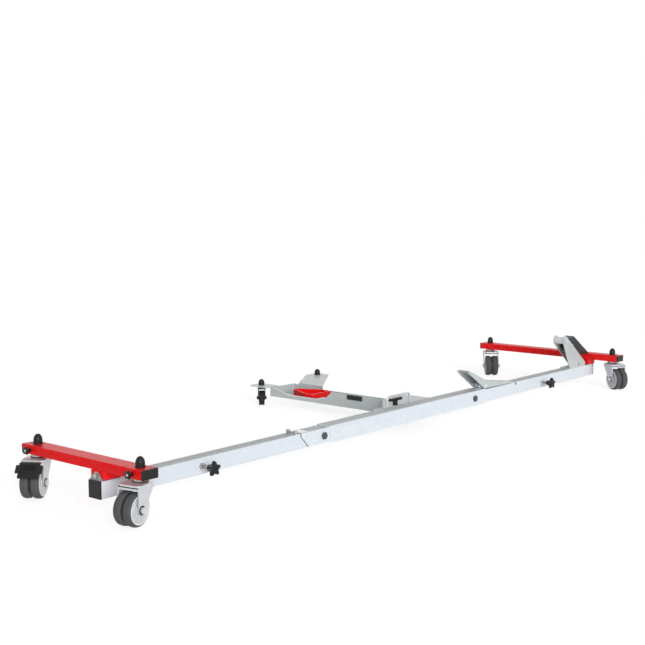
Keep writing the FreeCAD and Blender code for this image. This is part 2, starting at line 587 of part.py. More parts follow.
def rear_fasteners():
    plate_face = "rear_x - block_length / 2 - bracket_wall"
    bolts = [hex_bolt("bracket_bolt", (f"{plate_face} - bolt_head", "rail_y",
                                       "rail_top + bracket_bolt_height"),
                      "bracket_wall + bracket_bolt_length", "X", 1)]
    for index, (x, y) in enumerate(set_screw_spots()):
        bolts.append(fuse(f"set_screw_{index}",
                          hexagon(f"set_screw_{index}_head", "bolt_across", "set_screw_height",
                                  (x, y, "rail_top"), "Z"),
                          rod(f"set_screw_{index}_shank", "bolt_diameter", "rail_wall + set_screw_height",
                              (x, y, "rail_top - rail_wall"), "Z")))
    finish("rear_fasteners", group("rear_fasteners", *bolts, clamp_nut("rear_clamp_nut", "rear_knob_x")))


# Wheel stop at the front

def stop_bolt_places():
    middle = "front_x - (stop_heel_back + stop_toe_back) / 2"
    return [f"{middle} {sign} stop_bolt_pitch / 2" for sign in "-+"]


def stop_cheek(name, y, heel_back, rear_turn):
    """One leaning cheek in the XZ plane: a foot from heel to toe that narrows to a round head."""
    corners = [(f"front_x - {heel_back}", "rail_top"), ("front_x - stop_toe_back", "rail_top"),
               ("front_x - stop_toe_back", "rail_top + stop_toe_height"),
               ("stop_x + stop_head_radius * cos(stop_front_turn)",
                "stop_z + stop_head_radius * sin(stop_front_turn)"),
               (f"stop_x - stop_head_radius * cos({rear_turn})",
                f"stop_z - stop_head_radius * sin({rear_turn})")]
    plate = prism(name + "_plate", "XZ", corners, "stop_wall", ("0", f"{y} + stop_wall", "0"))
    head = rod(name + "_head", "2 * stop_head_radius", "stop_wall", ("stop_x", y, "stop_z"), "Y")
    return fuse(name, plate, head)


def wheel_stop():
    cheeks = [stop_cheek("near_cheek", "rail_near", "stop_heel_back", "stop_rear_turn"),
              stop_cheek("far_cheek", "rail_near + rail_width - stop_wall", "stop_far_heel_back",
                         "stop_far_rear_turn")]
    foot = box("stop_foot", ("stop_heel_back - stop_toe_back", "rail_width", "stop_wall"),
               ("front_x - stop_heel_back", "rail_near", "rail_top"))
    across = "rail_width + 2 * overrun"
    holes = [rod("roller_pin_hole", "roller_pin_diameter + 2 * fit_gap", across,
                 ("stop_x", "rail_near - overrun", "stop_z"), "Y"),
             rod("strut_bolt_hole", "bolt_diameter + 2 * fit_gap", across,
                 ("strut_x - strut_bolt_back", "rail_near - overrun", "beam_high + strut_bolt_height"), "Y")]
    holes += [rod(f"stop_foot_hole_{index}", "bolt_diameter + 2 * fit_gap", "stop_wall + 2 * overrun",
                  (x, "rail_y", "rail_top - overrun"), "Z") for index, x in enumerate(stop_bolt_places())]
    finish("stop_bracket", cut("stop_bracket", fuse("stop_whole", *cheeks, foot), *holes))
    strut()
    roller = rod("roller_body", "roller_diameter", "stop_inner - 2 * seat_gap",
                 ("stop_x", "rail_near + stop_wall + seat_gap", "stop_z"), "Y")
    bore = rod("roller_bore", "roller_pin_diameter + 2 * fit_gap", across,
               ("stop_x", "rail_near - overrun", "stop_z"), "Y")
    finish("stop_roller", cut("stop_roller", roller, bore))


def strut():
    """A dark strut between the cheeks that leans on the red beam's top."""
    corners = [("strut_x + strut_reach", "beam_high"),
               ("strut_x - strut_tip_back", "beam_high + strut_tip_height"),
               ("strut_x - strut_top_back", "beam_high + strut_top_height"),
               ("strut_x - strut_side_back", "beam_high + strut_side_height"),
               ("strut_x - strut_heel_back", "beam_high")]
    body = prism("strut_body", "XZ", corners, "stop_inner - 2 * seat_gap",
                 ("0", "rail_near + rail_width - stop_wall - seat_gap", "0"))
    hole = rod("strut_hole", "bolt_diameter + 2 * fit_gap", "rail_width + 2 * overrun",
               ("strut_x - strut_bolt_back", "rail_near - overrun", "beam_high + strut_bolt_height"), "Y")
    finish("stop_strut", cut("stop_strut", rounded("strut_round", body, "cap_corner", "Y"), hole))


def cross_pin(name, diameter, across, x, z):
    """A pin through both cheeks with a head on each side."""
    shank = rod(name + "_shank", diameter, "rail_width + 2 * bolt_head", (x, "rail_near - bolt_head", z), "Y")
    heads = [hexagon(f"{name}_head_{index}", across, "bolt_head", (x, y, z), "Y")
             for index, y in enumerate(("rail_near - bolt_head", "rail_near + rail_width"))]
    return fuse(name, shank, *heads)


def front_fasteners():
    bolts = [hex_bolt(f"stop_bolt_{index}", (x, "rail_y", "rail_top + stop_wall"), "rail_wall + stop_wall",
                      "Z", -1)
             for index, x in enumerate(stop_bolt_places())]
    pins = [cross_pin("roller_pin", "roller_pin_diameter", "axle_across", "stop_x", "stop_z"),
            cross_pin("strut_bolt", "bolt_diameter", "bolt_across", "strut_x - strut_bolt_back",
                      "beam_high + strut_bolt_height")]
    finish("front_fasteners", group("front_fasteners", *bolts, *pins,
                                    clamp_nut("front_clamp_nut", "front_knob_x")))


# Castors, built about their own stem and then stood in place

def stand(obj, x, y, turn="no_turn"):
    return place(obj, (x, y, "0"), FreeCAD.Rotation(DIRECTIONS["Z"], number(turn)))


def castor_stem(name):
    """The part of a castor that stays with the beam: stem, race and the rivet under the crown."""
    stem = rod(name + "_stem", "stem_diameter", "beam_high - crown_under + seat_gap + rivet_height",
               ("0", "0", "crown_under - seat_gap - rivet_height"), "Z")
    race = cone(name + "_race", "race_diameter", "race_neck_diameter", "race_height - seat_gap",
                ("0", "0", "crown_top + seat_gap"))
    rivet = rod(name + "_rivet", "rivet_diameter", "rivet_height",
                ("0", "0", "crown_under - seat_gap - rivet_height"), "Z")
    return fuse(name, stem, race, rivet)


def fork_leg(name, inner, outer, end, trail, axle, crown_low, back, ahead):
    """A leg that narrows from the crown to a round end on the axle; the other leg is its mirror image."""
    corners = [(back, crown_low), (ahead, crown_low), (f"-{trail} + {end} / 2", axle),
               (f"-{trail} - {end} / 2", axle)]
    plate = prism(name + "_plate", "XZ", corners, f"{outer} - {inner}", ("0", outer, "0"))
    foot = rod(name + "_foot", end, f"{outer} - {inner}", (f"-{trail}", inner, axle), "Y")
    leg = fuse(name, plate, foot)
    return leg, mirrored(name + "_twin", leg, "Y", ("0", "0", "0"))


def pedal_lugs(label):
    """Two lugs behind the fork's legs, with the pin that the brake pedal turns on."""
    lug = box(label + "_lug", ("crown_back + leg_end_diameter / 2 - pedal_x", "leg_wall", "pedal_barrel"),
              ("pedal_x", "leg_inner", "pedal_z - pedal_barrel / 2"))
    end = rod(label + "_lug_end", "pedal_barrel", "leg_wall", ("pedal_x", "leg_inner", "pedal_z"), "Y")
    pair = fuse(label + "_lug_body", lug, end)
    pin = rod(label + "_pin", "pedal_pin_diameter", "2 * leg_outer", ("pedal_x", "-leg_outer", "pedal_z"),
              "Y")
    return [pair, mirrored(label + "_lug_twin", pair, "Y", ("0", "0", "0")), pin]


def twin_fork(label, x, y, turn, braked):
    crown = box(label + "_plate", ("crown_length", "2 * leg_outer", "crown_wall"),
                ("crown_back", "-leg_outer", "crown_under"))
    lip = box(label + "_lip", ("lip_wall", "2 * leg_outer", "crown_lip"),
              ("crown_back", "-leg_outer", "crown_under - crown_lip"))
    groove = box(label + "_groove", ("lip_groove_depth + overrun", "2 * (leg_outer + overrun)", "lip_groove"),
                 ("crown_back - overrun", "-leg_outer - overrun", "crown_under - lip_groove"))
    legs = list(fork_leg(label + "_leg", "leg_inner", "leg_outer", "leg_end_diameter", "castor_trail",
                         "axle_high", "crown_under", "crown_back", "crown_ahead"))
    if braked:
        legs += pedal_lugs(label)
    axle = rod(label + "_axle", "axle_diameter", "2 * (leg_outer + axle_head)",
               ("-castor_trail", "-leg_outer - axle_head", "axle_high"), "Y")
    heads = [hexagon(f"{label}_axle_head_{index}", "axle_across", "axle_head",
                     ("-castor_trail", start, "axle_high"), "Y")
             for index, start in enumerate(("-leg_outer - axle_head", "leg_outer"))]
    hole = rod(label + "_hole", "stem_diameter + 2 * fit_gap", "crown_wall + 2 * overrun",
               ("0", "0", "crown_under - overrun"), "Z")
    whole = fuse(label + "_whole", rounded(label + "_crown", crown, "crown_corner", "Z"),
                 cut(label + "_lips", lip, groove), *legs, axle, *heads)
    finish(label, stand(cut(label, whole, hole), x, y, turn))


def hub(name):
    """A dished wheel centre between the wheel gap and the wheel's outer face, bored for the axle."""
    inner, outer = "wheel_gap / 2", "wheels_half"
    bore = "axle_diameter / 2 + fit_gap"
    profile = [(bore, inner), ("hub_diameter / 2", inner), ("hub_diameter / 2", outer),
               ("hub_diameter / 2 - hub_rim", outer),
               ("hub_diameter / 2 - hub_rim - hub_dish", f"{outer} - hub_dish"),
               ("boss_diameter / 2", f"{outer} - hub_dish"), ("boss_diameter / 2", outer), (bore, outer)]
    return wheel_form(name, profile)


def tyre(name):
    """A grey tread with rounded shoulders, seated on the hub's rim."""
    inner, outer = "wheel_gap / 2", "wheels_half"
    top = "wheel_diameter / 2"
    profile = [("hub_diameter / 2", inner), (f"{top} - tread_round", inner),
               (f"{top} - tread_share", f"{inner} + tread_share"),
               (top, f"{inner} + tread_round"), (top, f"{outer} - tread_round"),
               (f"{top} - tread_share", f"{outer} - tread_share"),
               (f"{top} - tread_round", outer), ("hub_diameter / 2", outer)]
    return wheel_form(name, profile)


def wheel_form(name, profile):
    """Turns a (radius, width) profile about the axle, on both sides of the castor."""
    turned = doc.addObject("Part::Revolution", name + "_turned")
    turned.Source = sketch(name + "_profile",
                           [(f"-castor_trail + {radius}", width) for radius, width in profile],
                           ("0", "0", "axle_high"), PLANES["XY"])
    turned.Axis = DIRECTIONS["Y"]
    bind(turned, {"Base.x": "-castor_trail", "Base.z": "axle_high"})
    turned.Solid = True
    return group(name, turned, mirrored(name + "_twin", turned, "Y", ("0", "0", "0")))


def twin_castor(end, spot, x, y):
    turn = f"{end}_{spot}_turn"
    twin_fork(f"{end}_{spot}_fork", x, y, turn, (end, spot) == ("rear", "far"))
    finish(f"{end}_{spot}_hubs", stand(hub(f"{end}_{spot}_hubs"), x, y, turn))
    finish(f"{end}_{spot}_tyres", stand(tyre(f"{end}_{spot}_tyres"), x, y, turn))


def main_castors():
    for end, x in (("rear", "rear_x"), ("front", "front_x")):
        stems = []
        for spot, y in zip(("near", "far"), stems_of(end)):
            stems.append(stand(castor_stem(f"{end}_{spot}_stem"), x, y))
            twin_castor(end, spot, x, y)
        finish(f"{end}_castor_stems", group(f"{end}_castor_stems", *stems))


def pedal_tabs(top):
    """Two tabs that stand out at the pedal's sides, for a foot to lift it by."""
    slope = "pedal_drop / pedal_reach"
    near, far = "pedal_x - pedal_tab_from", "pedal_x - pedal_tab_from - pedal_tab_length"
    outline = [(near, f"{top} - pedal_tab_from * {slope}"),
               (far, f"{top} - (pedal_tab_from + pedal_tab_length) * {slope}"),
               (far, f"{top} - (pedal_tab_from + pedal_tab_length) * {slope} + pedal_tab_wall"),
               (near, f"{top} - pedal_tab_from * {slope} + pedal_tab_wall")]
    tab = prism("pedal_tab", "XZ", outline, "2 * pedal_tab_out",
                ("0", "pedal_width / 2 + pedal_tab_out", "0"))
    return [tab, mirrored("pedal_tab_twin", tab, "Y", ("0", "0", "0"))]


def brake_pedal():
    """A foot pedal over the wheels' trailing side, turning on the pin between the fork's lugs."""
    reach = "pedal_x - pedal_reach"
    top = "pedal_z + pedal_barrel / 2"
    outline = [("pedal_x", top), (reach, f"{top} - pedal_drop"), (reach, f"{top} - pedal_drop - pedal_wall"),
               ("pedal_x", f"{top} - pedal_wall")]
    plate = prism("pedal_plate", "XZ", outline, "pedal_width", ("0", "pedal_width / 2", "0"))
    barrel = rod("pedal_tube", "pedal_barrel", "pedal_width", ("pedal_x", "-pedal_width / 2", "pedal_z"), "Y")
    bore = rod("pedal_bore", "pedal_pin_diameter + 2 * fit_gap", "pedal_width + 2 * overrun",
               ("pedal_x", "-pedal_width / 2 - overrun", "pedal_z"), "Y")
    pedal = cut("brake_pedal", fuse("pedal_whole", plate, barrel, *pedal_tabs(top)), bore)
    finish("brake_pedal", stand(pedal, "rear_x", "rail_y + rear_far_stem", "rear_far_turn"))


# Star knobs

def star_knob(label, diameter, height, start, axis, stud_diameter, stud_start, stud_length):
    """A lobed knob on a stud: a round core with lobes set evenly about it."""
    index = "XYZ".index(axis)
    across = [way for way in range(3) if way != index]
    core = rod(label + "_core", f"{diameter} * lobe_ring_share", height, start, axis)
    lobes = []
    for lobe in range(int(number("star_lobes"))):
        turn = f"360 * {lobe} / star_lobes + 90"
        centre = list(start)
        for way, shape in zip(across, ("cos", "sin")):
            centre[way] = f"{start[way]} + {diameter} / 2 * (1 - lobe_share) * {shape}({turn})"
        lobes.append(rod(f"{label}_lobe_{lobe}", f"{diameter} * lobe_share", height, centre, axis))
    stud = rod(label + "_stud", stud_diameter, stud_length, stud_start, axis)
    return finish(label, fuse(label, core, *lobes, stud))


def rail_knobs():
    """One knob on each rail's near side; its stud ends just short of the tongue."""
    for end in ("rear", "front"):
        x = f"{end}_knob_x"
        knob_low = "rail_near - rail_knob_out - rail_knob_height"
        tip = "rail_y - tongue_width / 2 - seat_gap"
        star_knob(f"{end}_rail_knob", "rail_knob_diameter", "rail_knob_height", (x, knob_low, "rail_mid"),
                  "Y", "clamp_stud_diameter", (x, knob_low, "rail_mid"), f"{tip} - ({knob_low})")


def stem_knobs():
    """Small knobs on the beams' outer faces; each stud ends just short of a castor stem."""
    for end, x, side in (("rear", "rear_x", -1), ("front", "front_x", 1)):
        face = f"{x} - beam_width / 2" if side < 0 else f"{x} + beam_width / 2"
        low = f"{face} - stem_knob_out - stem_knob_height" if side < 0 else f"{face} + stem_knob_out"
        outer = low if side < 0 else f"{low} + stem_knob_height"
        tip = f"{x} - stem_diameter / 2 - seat_gap" if side < 0 else f"{x} + stem_diameter / 2 + seat_gap"
        stud = (outer, tip) if side < 0 else (tip, outer)
        for spot, y in zip(("near", "far"), stems_of(end)):
            star_knob(f"{end}_{spot}_stem_knob", "stem_knob_diameter", "stem_knob_height",
                      (low, y, "beam_mid"), "X", "stem_stud_diameter", (stud[0], y, "beam_mid"),
                      f"{stud[1]} - ({stud[0]})")


# Rocker

def rocker():
    """A shallow V of sheet with side skirts: the tail stands up behind the tyre until the wheel tips it."""
    u_x, u_z = "cos(rocker_tail_angle)", "sin(rocker_tail_angle)"
    low_x = f"rocker_x - rocker_hub * {u_z} - rocker_tail * {u_x}"
    low_z = f"rocker_z - rocker_hub * {u_x} + rocker_tail * {u_z}"
    tip_x, tip_z = f"{low_x} + rocker_tip * {u_z}", f"{low_z} + rocker_tip * {u_x}"
    valley = ("rocker_x + rocker_valley_ahead", "rocker_z + rocker_valley_rise")
    front_low = ("rocker_x + rocker_front", "rocker_z - rocker_hub - rocker_front_drop")
    front_high = ("rocker_x + rocker_front", "rocker_z - rocker_hub - rocker_front_drop + rocker_wall")
    side = [(low_x, low_z), (f"rocker_x - rocker_hub * {u_z}", f"rocker_z - rocker_hub * {u_x}"),
            ("rocker_x", "rocker_z - rocker_hub"), front_low, front_high, valley, (tip_x, tip_z)]
    under = [(tip_x, f"{tip_z} - rocker_wall"), (valley[0], f"{valley[1]} - rocker_wall"),
             front_low, front_high, valley, (tip_x, tip_z)]
    far = "rail_y + rocker_width / 2"
    skirts = [prism("rocker_near_skirt", "XZ", side, "rocker_wall",
                    ("0", "rail_y - rocker_width / 2 + rocker_wall", "0")),
              prism("rocker_far_skirt", "XZ", side, "rocker_wall", ("0", far, "0"))]
    top = prism("rocker_top", "XZ", under, "rocker_width", ("0", far, "0"))
    hole = rod("rocker_hole", "rocker_pin_diameter + 2 * fit_gap", "rocker_width + 2 * overrun",
               ("rocker_x", "rail_y - rocker_width / 2 - overrun", "rocker_z"), "Y")
    finish("rocker_plate", cut("rocker_plate", fuse("rocker_whole", *skirts, top), hole))


def rocker_bracket():
    """Two ears on a foot, with the pin that the rocker turns on and its two heads."""
    half = "rocker_ear_gap / 2 + rocker_ear_wall"
    foot = box("rocker_foot", ("rocker_base_length", f"2 * ({half})", "rocker_base_wall"),
               ("rocker_x - rocker_base_length + rocker_ear_radius", f"rail_y - ({half})", "sleeve_top"))
    parts = [foot]
    for name, y in (("near", f"rail_y - ({half})"), ("far", "rail_y + rocker_ear_gap / 2")):
        parts.append(box(f"rocker_{name}_post",
                         ("2 * rocker_ear_radius", "rocker_ear_wall", "rocker_pivot_height"),
                         ("rocker_x - rocker_ear_radius", y, "sleeve_top")))
        parts.append(rod(f"rocker_{name}_ear", "2 * rocker_ear_radius", "rocker_ear_wall",
                         ("rocker_x", y, "rocker_z"), "Y"))
    reach = "rocker_width / 2 + seat_gap"
    pin_low = f"rail_y - ({reach}) - bolt_head"
    parts.append(rod("rocker_pin", "rocker_pin_diameter", f"2 * ({reach} + bolt_head)",
                     ("rocker_x", pin_low, "rocker_z"), "Y"))
    for index, y in enumerate((pin_low, f"rail_y + {reach}")):
        parts.append(rod(f"rocker_pin_head_{index}", "rocker_pin_head", "bolt_head",
                         ("rocker_x", y, "rocker_z"), "Y"))
    finish("rocker_bracket", fuse("rocker_bracket", *parts))


# Side arm

def arm_wall_outline(step):
    """Side of the trough: tall from the root to the step, low beside the pad, and rising to the end flange."""
    end = "rail_y + arm_end"
    return [("sleeve_far", "arm_floor"), (end, "arm_floor"), (end, "arm_plate_low"),
            (f"{end} - arm_end_run", "arm_tray"), (f"{step} + arm_step_run", "arm_tray"), (step, "arm_high"),
            ("sleeve_far", "arm_high")]


def side_arm():
    gusset_y = "sleeve_far + gusset_deep"
    walls = [prism("arm_rear_wall", "YZ", arm_wall_outline("rail_y + arm_step_from"), "arm_wall",
                   ("arm_x", "0", "0")),
             prism("arm_front_wall", "YZ", arm_wall_outline(gusset_y), "arm_wall",
                   ("arm_front - arm_wall", "0", "0"))]
    length = "rail_y + arm_end - sleeve_far"
    floor = box("arm_floor_plate", ("arm_width", length, "arm_wall"), ("arm_x", "sleeve_far", "arm_floor"))
    end = box("arm_end_wall", ("arm_width", "arm_wall", "arm_plate_low - arm_floor"),
              ("arm_x", "rail_y + arm_end - arm_wall", "arm_floor"))
    flange = box("arm_flange_plate", ("2 * arm_flange", "far_reach - arm_end + arm_wall", "arm_wall"),
                 ("arm_castor_x - arm_flange", "rail_y + arm_end - arm_wall", "arm_plate_low"))
    flange = rounded("arm_flange_round", flange, "crown_corner", "Z")
    shelf = box("arm_end_shelf", ("arm_castor_x + arm_flange - arm_x", "arm_wall", "arm_wall"),
                ("arm_x", "rail_y + arm_end - arm_wall", "arm_plate_low"))
    gusset = prism("arm_gusset", "XY",
                   [("arm_x - gusset_back", "sleeve_far"), ("arm_front", "sleeve_far"),
                    ("arm_front", gusset_y), ("arm_x", gusset_y)],
                   "arm_wall", ("0", "0", "plate_under"))
    holes = [rod(f"arm_bail_hole_{index}", "bail_diameter + 2 * fit_gap", "arm_wall + 2 * overrun",
                 (x, "bail_y", "plate_under - overrun"), "Z") for index, x in enumerate(bail_legs())]
    holes.append(rod("arm_tee_hole", "tee_stud_diameter + 2 * fit_gap", "arm_wall + 2 * overrun",
                     ("tee_x", "tee_y", "plate_under - overrun"), "Z"))
    holes.append(rod("arm_stem_hole", "small_stem_diameter + 2 * fit_gap", "arm_wall + 2 * overrun",
                     ("arm_castor_x", "arm_castor_y", "arm_plate_low - overrun"), "Z"))
    finish("side_arm", cut("side_arm", fuse("arm_whole", *walls, floor, end, flange, shelf, gusset), *holes))


def arm_bracket():
    """The branch that carries the second small castor, with a flange against the trough's front wall."""
    outer_y = "rail_y + far_reach"
    corner_x = "arm_second_x + arm_flange"
    plate = prism("branch_plate", "XY",
                  [("arm_front", "rail_y + branch_from"), (corner_x, "arm_castor_y - arm_flange"),
                   (corner_x, outer_y), ("arm_second_x - arm_flange", outer_y),
                   ("arm_front", "rail_y + branch_to")],
                  "arm_wall", ("0", "0", "arm_plate_low"))
    flange = box("branch_flange", ("arm_wall", "branch_to - branch_from", "arm_plate_top - arm_floor"),
                 ("arm_front", "rail_y + branch_from", "arm_floor"))
    hole = rod("branch_hole", "small_stem_diameter + 2 * fit_gap", "arm_wall + 2 * overrun",
               ("arm_second_x", "arm_castor_y", "arm_plate_low - overrun"), "Z")
    finish("arm_bracket", cut("arm_bracket", fuse("branch_whole", plate, flange), hole))


def arm_socket():
    """A bar on the sleeve's far side under the gusset, drilled for the bail's legs and the T knob's stud."""
    top = "plate_under - seat_gap"
    bar = box("socket_bar", ("socket_length", "socket_depth", "socket_height"),
              ("arm_x - socket_length", "sleeve_far", f"{top} - socket_height"))
    holes = [rod(f"socket_bail_hole_{index}", "bail_diameter + 2 * fit_gap", "socket_height + 2 * overrun",
                 (x, "bail_y", f"{top} - socket_height - overrun"), "Z")
             for index, x in enumerate(bail_legs())]
    holes.append(rod("socket_tee_hole", "tee_stud_diameter + 2 * fit_gap", "socket_height + 2 * overrun",
                     ("tee_x", "tee_y", f"{top} - socket_height - overrun"), "Z"))
    finish("arm_socket", cut("arm_socket", bar, *holes))


def pad_outline(inset="0"):
    """The pad seen from above: square at its near end, narrowing to a nose at its far end."""
    half = f"pad_width / 2 - {inset}"
    nose = f"pad_nose_width / 2 - {inset} / 2"
    near, far = f"pad_y + {inset}", f"pad_y + pad_length - {inset}"
    shoulder = "pad_y + pad_length - pad_nose"
    return [(f"pad_x - ({half})", near), (f"pad_x + {half}", near), (f"pad_x + {half}", shoulder),
            (f"pad_x + {nose}", far), (f"pad_x - ({nose})", far), (f"pad_x - ({half})", shoulder)]


def stand_pad():
    body = prism("pad_body", "XY", pad_outline(), "pad_height", ("0", "0", "pad_low"))
    hollow = prism("pad_hollow", "XY", pad_outline("pad_wall"), "pad_height",
                   ("0", "0", "pad_low + pad_floor"))
    finish("stand_pad", cut("stand_pad", rounded("pad_round", body, "pad_corner", "Z"), hollow))


def arm_patch():
    finish("arm_patch", box("arm_patch", ("patch_wall", "patch_length", "patch_height"),
                            ("arm_x - patch_wall", "rail_y + patch_from", "arm_high - patch_height")))


def bail_legs():
    return ["bail_x", "bail_x + bail_span"]


def bail():
    """A wire U whose two legs drop through the arm into the socket; it lifts out to free the arm."""
    top = "arm_high + bail_rise"
    foot = "arm_high - bail_drop"
    legs = [rod(f"bail_leg_{index}", "bail_diameter", f"{top} - bail_bend - ({foot})", (x, "bail_y", foot),
                "Z")
            for index, x in enumerate(bail_legs())]
    bar = rod("bail_bar", "bail_diameter", "bail_span - 2 * bail_bend",
              ("bail_x + bail_bend", "bail_y", top), "X")
    bends = []
    for index, (x, first) in enumerate((("bail_x + bail_bend", 90), ("bail_x + bail_span - bail_bend", 0))):
        bend = doc.addObject("Part::Torus", f"bail_bend_{index}")
        bind(bend, {"Radius1": "bail_bend", "Radius2": "bail_diameter / 2"})
        bend.Angle3 = 90
        upright = FreeCAD.Rotation(DIRECTIONS["X"], 90)
        bends.append(place(bend, (x, "bail_y", f"{top} - bail_bend"),
                           upright * FreeCAD.Rotation(DIRECTIONS["Z"], first)))
    finish("arm_lock_bail", fuse("arm_lock_bail", *legs, bar, *bends))


def tee_knob():
    """A T-shaped knob whose stud clamps the arm to its socket."""
    foot = "arm_high + seat_gap"
    stem = rod("tee_stem_post", "tee_stem_diameter", "tee_stem", ("tee_x", "tee_y", foot), "Z")
    bar = box("tee_bar_stock", ("tee_length", "tee_width", "tee_height"),
              ("tee_x - tee_length / 2", "tee_y - tee_width / 2", f"{foot} + tee_stem"))
    stud = rod("tee_stud", "tee_stud_diameter", f"{foot} + tee_stem - (arm_high - bail_drop)",
               ("tee_x", "tee_y", "arm_high - bail_drop"), "Z")
    finish("arm_tee_knob", fuse("arm_tee_knob", stem, rounded("tee_bar", bar, "cap_corner", "Z"), stud))


def small_castor(label, x, y):
    """A single-wheel castor: fork and wheel, stood under the arm's plate."""
    half = "small_crown_length / 2"
    crown_low = "small_crown_top - small_crown"
    crown = box(label + "_crown", ("small_crown_length", "2 * small_leg_outer", "small_crown"),
                (f"-small_trail / 2 - {half}", "-small_leg_outer", crown_low))
    legs = fork_leg(label + "_leg", "small_leg_inner", "small_leg_outer", "small_leg_end", "small_trail",
                    "small_axle", crown_low, f"-small_trail / 2 - {half}", f"-small_trail / 2 + {half}")
    axle = rod(label + "_axle", "small_axle_diameter", "2 * (small_leg_outer + bolt_head)",
               ("-small_trail", "-small_leg_outer - bolt_head", "small_axle"), "Y")
    heads = [rod(f"{label}_axle_head_{index}", "bolt_across", "bolt_head",
                 ("-small_trail", start, "small_axle"), "Y")
             for index, start in enumerate(("-small_leg_outer - bolt_head", "small_leg_outer"))]
    hole = rod(label + "_hole", "small_stem_diameter + 2 * fit_gap", "small_crown + 2 * overrun",
               ("0", "0", f"{crown_low} - overrun"), "Z")
    fork = cut(label + "_fork", fuse(label + "_whole", crown, *legs, axle, *heads), hole)
    finish(label + "_fork", stand(fork, x, y, "small_turn"))
    wheel = rod(label + "_disc", "small_wheel_diameter", "small_wheel_width",
                ("-small_trail", "-small_wheel_width / 2", "small_axle"), "Y")
    grooves = [rod(f"{label}_groove_{index}", "small_hub_diameter", "small_hub_groove",
                   ("-small_trail", start, "small_axle"), "Y")
               for index, start in enumerate(("-small_wheel_width / 2",
                                              "small_wheel_width / 2 - small_hub_groove"))]
    bore = rod(label + "_bore", "small_axle_diameter + 2 * fit_gap", "small_wheel_width + 2 * overrun",
               ("-small_trail", "-small_wheel_width / 2 - overrun", "small_axle"), "Y")
    finish(label + "_wheel", stand(cut(label + "_wheel", wheel, *grooves, bore), x, y, "small_turn"))


def small_stem(name):
    crown_low = "small_crown_top - small_crown"
    foot = f"{crown_low} - seat_gap - small_rivet_height"
    stem = rod(name + "_stem", "small_stem_diameter", f"arm_plate_top - ({foot})", ("0", "0", foot), "Z")
    race = rod(name + "_race", "small_race_diameter", "small_race - seat_gap",
               ("0", "0", "small_crown_top + seat_gap"), "Z")
    rivet = rod(name + "_rivet", "small_rivet_diameter", "small_rivet_height", ("0", "0", foot), "Z")
    return fuse(name, stem, race, rivet)


def arm_castors():
    spots = (("arm_outer", "arm_castor_x"), ("arm_front", "arm_second_x"))
    for label, x in spots:
        small_castor(label + "_castor", x, "arm_castor_y")
    stems = [stand(small_stem(label + "_stem"), x, "arm_castor_y") for label, x in spots]
    finish("arm_castor_stems", group("arm_castor_stems", *stems))
    domes = [dome(label + "_dome", (x, "arm_castor_y", "arm_plate_top"), "small_dome_diameter",
                  "small_dome_height", "small_dome_nose") for label, x in spots]
    finish("arm_stem_caps", group("arm_stem_caps", *domes))


def build():
    centre_section()
    tongue("rear_tongue", "rear_pivot", "rear_tongue_length", -1)
    tongue("front_tongue", "front_pivot", "front_tongue_length", 1)
    rear_rail()
    front_rail()
    rail_plug("rear_rail_plug", "rail_rear_end", -1, "rear_x")
    rail_plug("front_rail_plug", "rail_front_end", 1, "front_x")
    block("rear_block", "rear_x", True)
    block("front_block", "front_x", False)
    beam("rear", "rear_x", -1)
    beam("front", "front_x", 1)
    rear_end_bracket()
    rear_fasteners()
    wheel_stop()
    front_fasteners()
    main_castors()
    brake_pedal()
    rail_knobs()
    stem_knobs()
    rocker()
    rocker_bracket()
    side_arm()
    arm_bracket()
    arm_socket()
    stand_pad()
    arm_patch()
    bail()
    tee_knob()
    arm_castors()


def check_and_write():
    doc.recompute()
    failed = [obj.Name for obj in doc.Objects if {"Invalid", "Error"} & set(obj.State)]
    if failed:
        raise RuntimeError(f"failed objects: {failed}")
    for obj in pieces:
        if obj.Shape.isNull() or not obj.Shape.isValid() or not obj.Shape.Solids:
            raise RuntimeError(f"bad shape: {obj.Label}")
    os.makedirs("parts", exist_ok=True)
    for obj in pieces:
        obj.Shape.exportStep(os.path.join("parts", obj.Label + ".step"))
    print(f"{len(pieces)} pieces, {sum(len(obj.Shape.Solids) for obj in pieces)} solids")


build()
check_and_write()
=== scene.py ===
"""Looks of the motorcycle mover dolly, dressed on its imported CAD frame.

Lengths are metres unless a name says mm.
"""
import json
import math

import bmesh
import bpy
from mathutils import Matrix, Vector


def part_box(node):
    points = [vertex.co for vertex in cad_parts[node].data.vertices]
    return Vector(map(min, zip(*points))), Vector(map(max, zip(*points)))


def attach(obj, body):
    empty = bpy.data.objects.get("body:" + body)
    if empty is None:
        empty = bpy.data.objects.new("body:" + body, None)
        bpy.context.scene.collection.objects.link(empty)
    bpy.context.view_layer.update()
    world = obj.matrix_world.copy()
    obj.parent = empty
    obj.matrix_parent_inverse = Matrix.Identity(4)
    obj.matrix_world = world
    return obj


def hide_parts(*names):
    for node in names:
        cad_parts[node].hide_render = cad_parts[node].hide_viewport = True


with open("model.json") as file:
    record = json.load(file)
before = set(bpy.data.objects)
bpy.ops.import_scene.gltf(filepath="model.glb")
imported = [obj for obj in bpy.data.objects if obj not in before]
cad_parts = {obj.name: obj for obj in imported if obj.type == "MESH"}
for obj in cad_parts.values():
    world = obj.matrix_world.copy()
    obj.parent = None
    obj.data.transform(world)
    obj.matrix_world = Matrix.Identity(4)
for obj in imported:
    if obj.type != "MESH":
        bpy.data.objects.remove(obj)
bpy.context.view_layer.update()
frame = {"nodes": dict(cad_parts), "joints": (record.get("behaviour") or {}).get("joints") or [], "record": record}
nodes = frame["nodes"]
joints = {joint["name"]: joint for joint in frame["joints"]}
MM = 0.001
FULL_TURN = 2 * math.pi
ENDS = ("rear", "front")
SPOTS = ("near", "far")

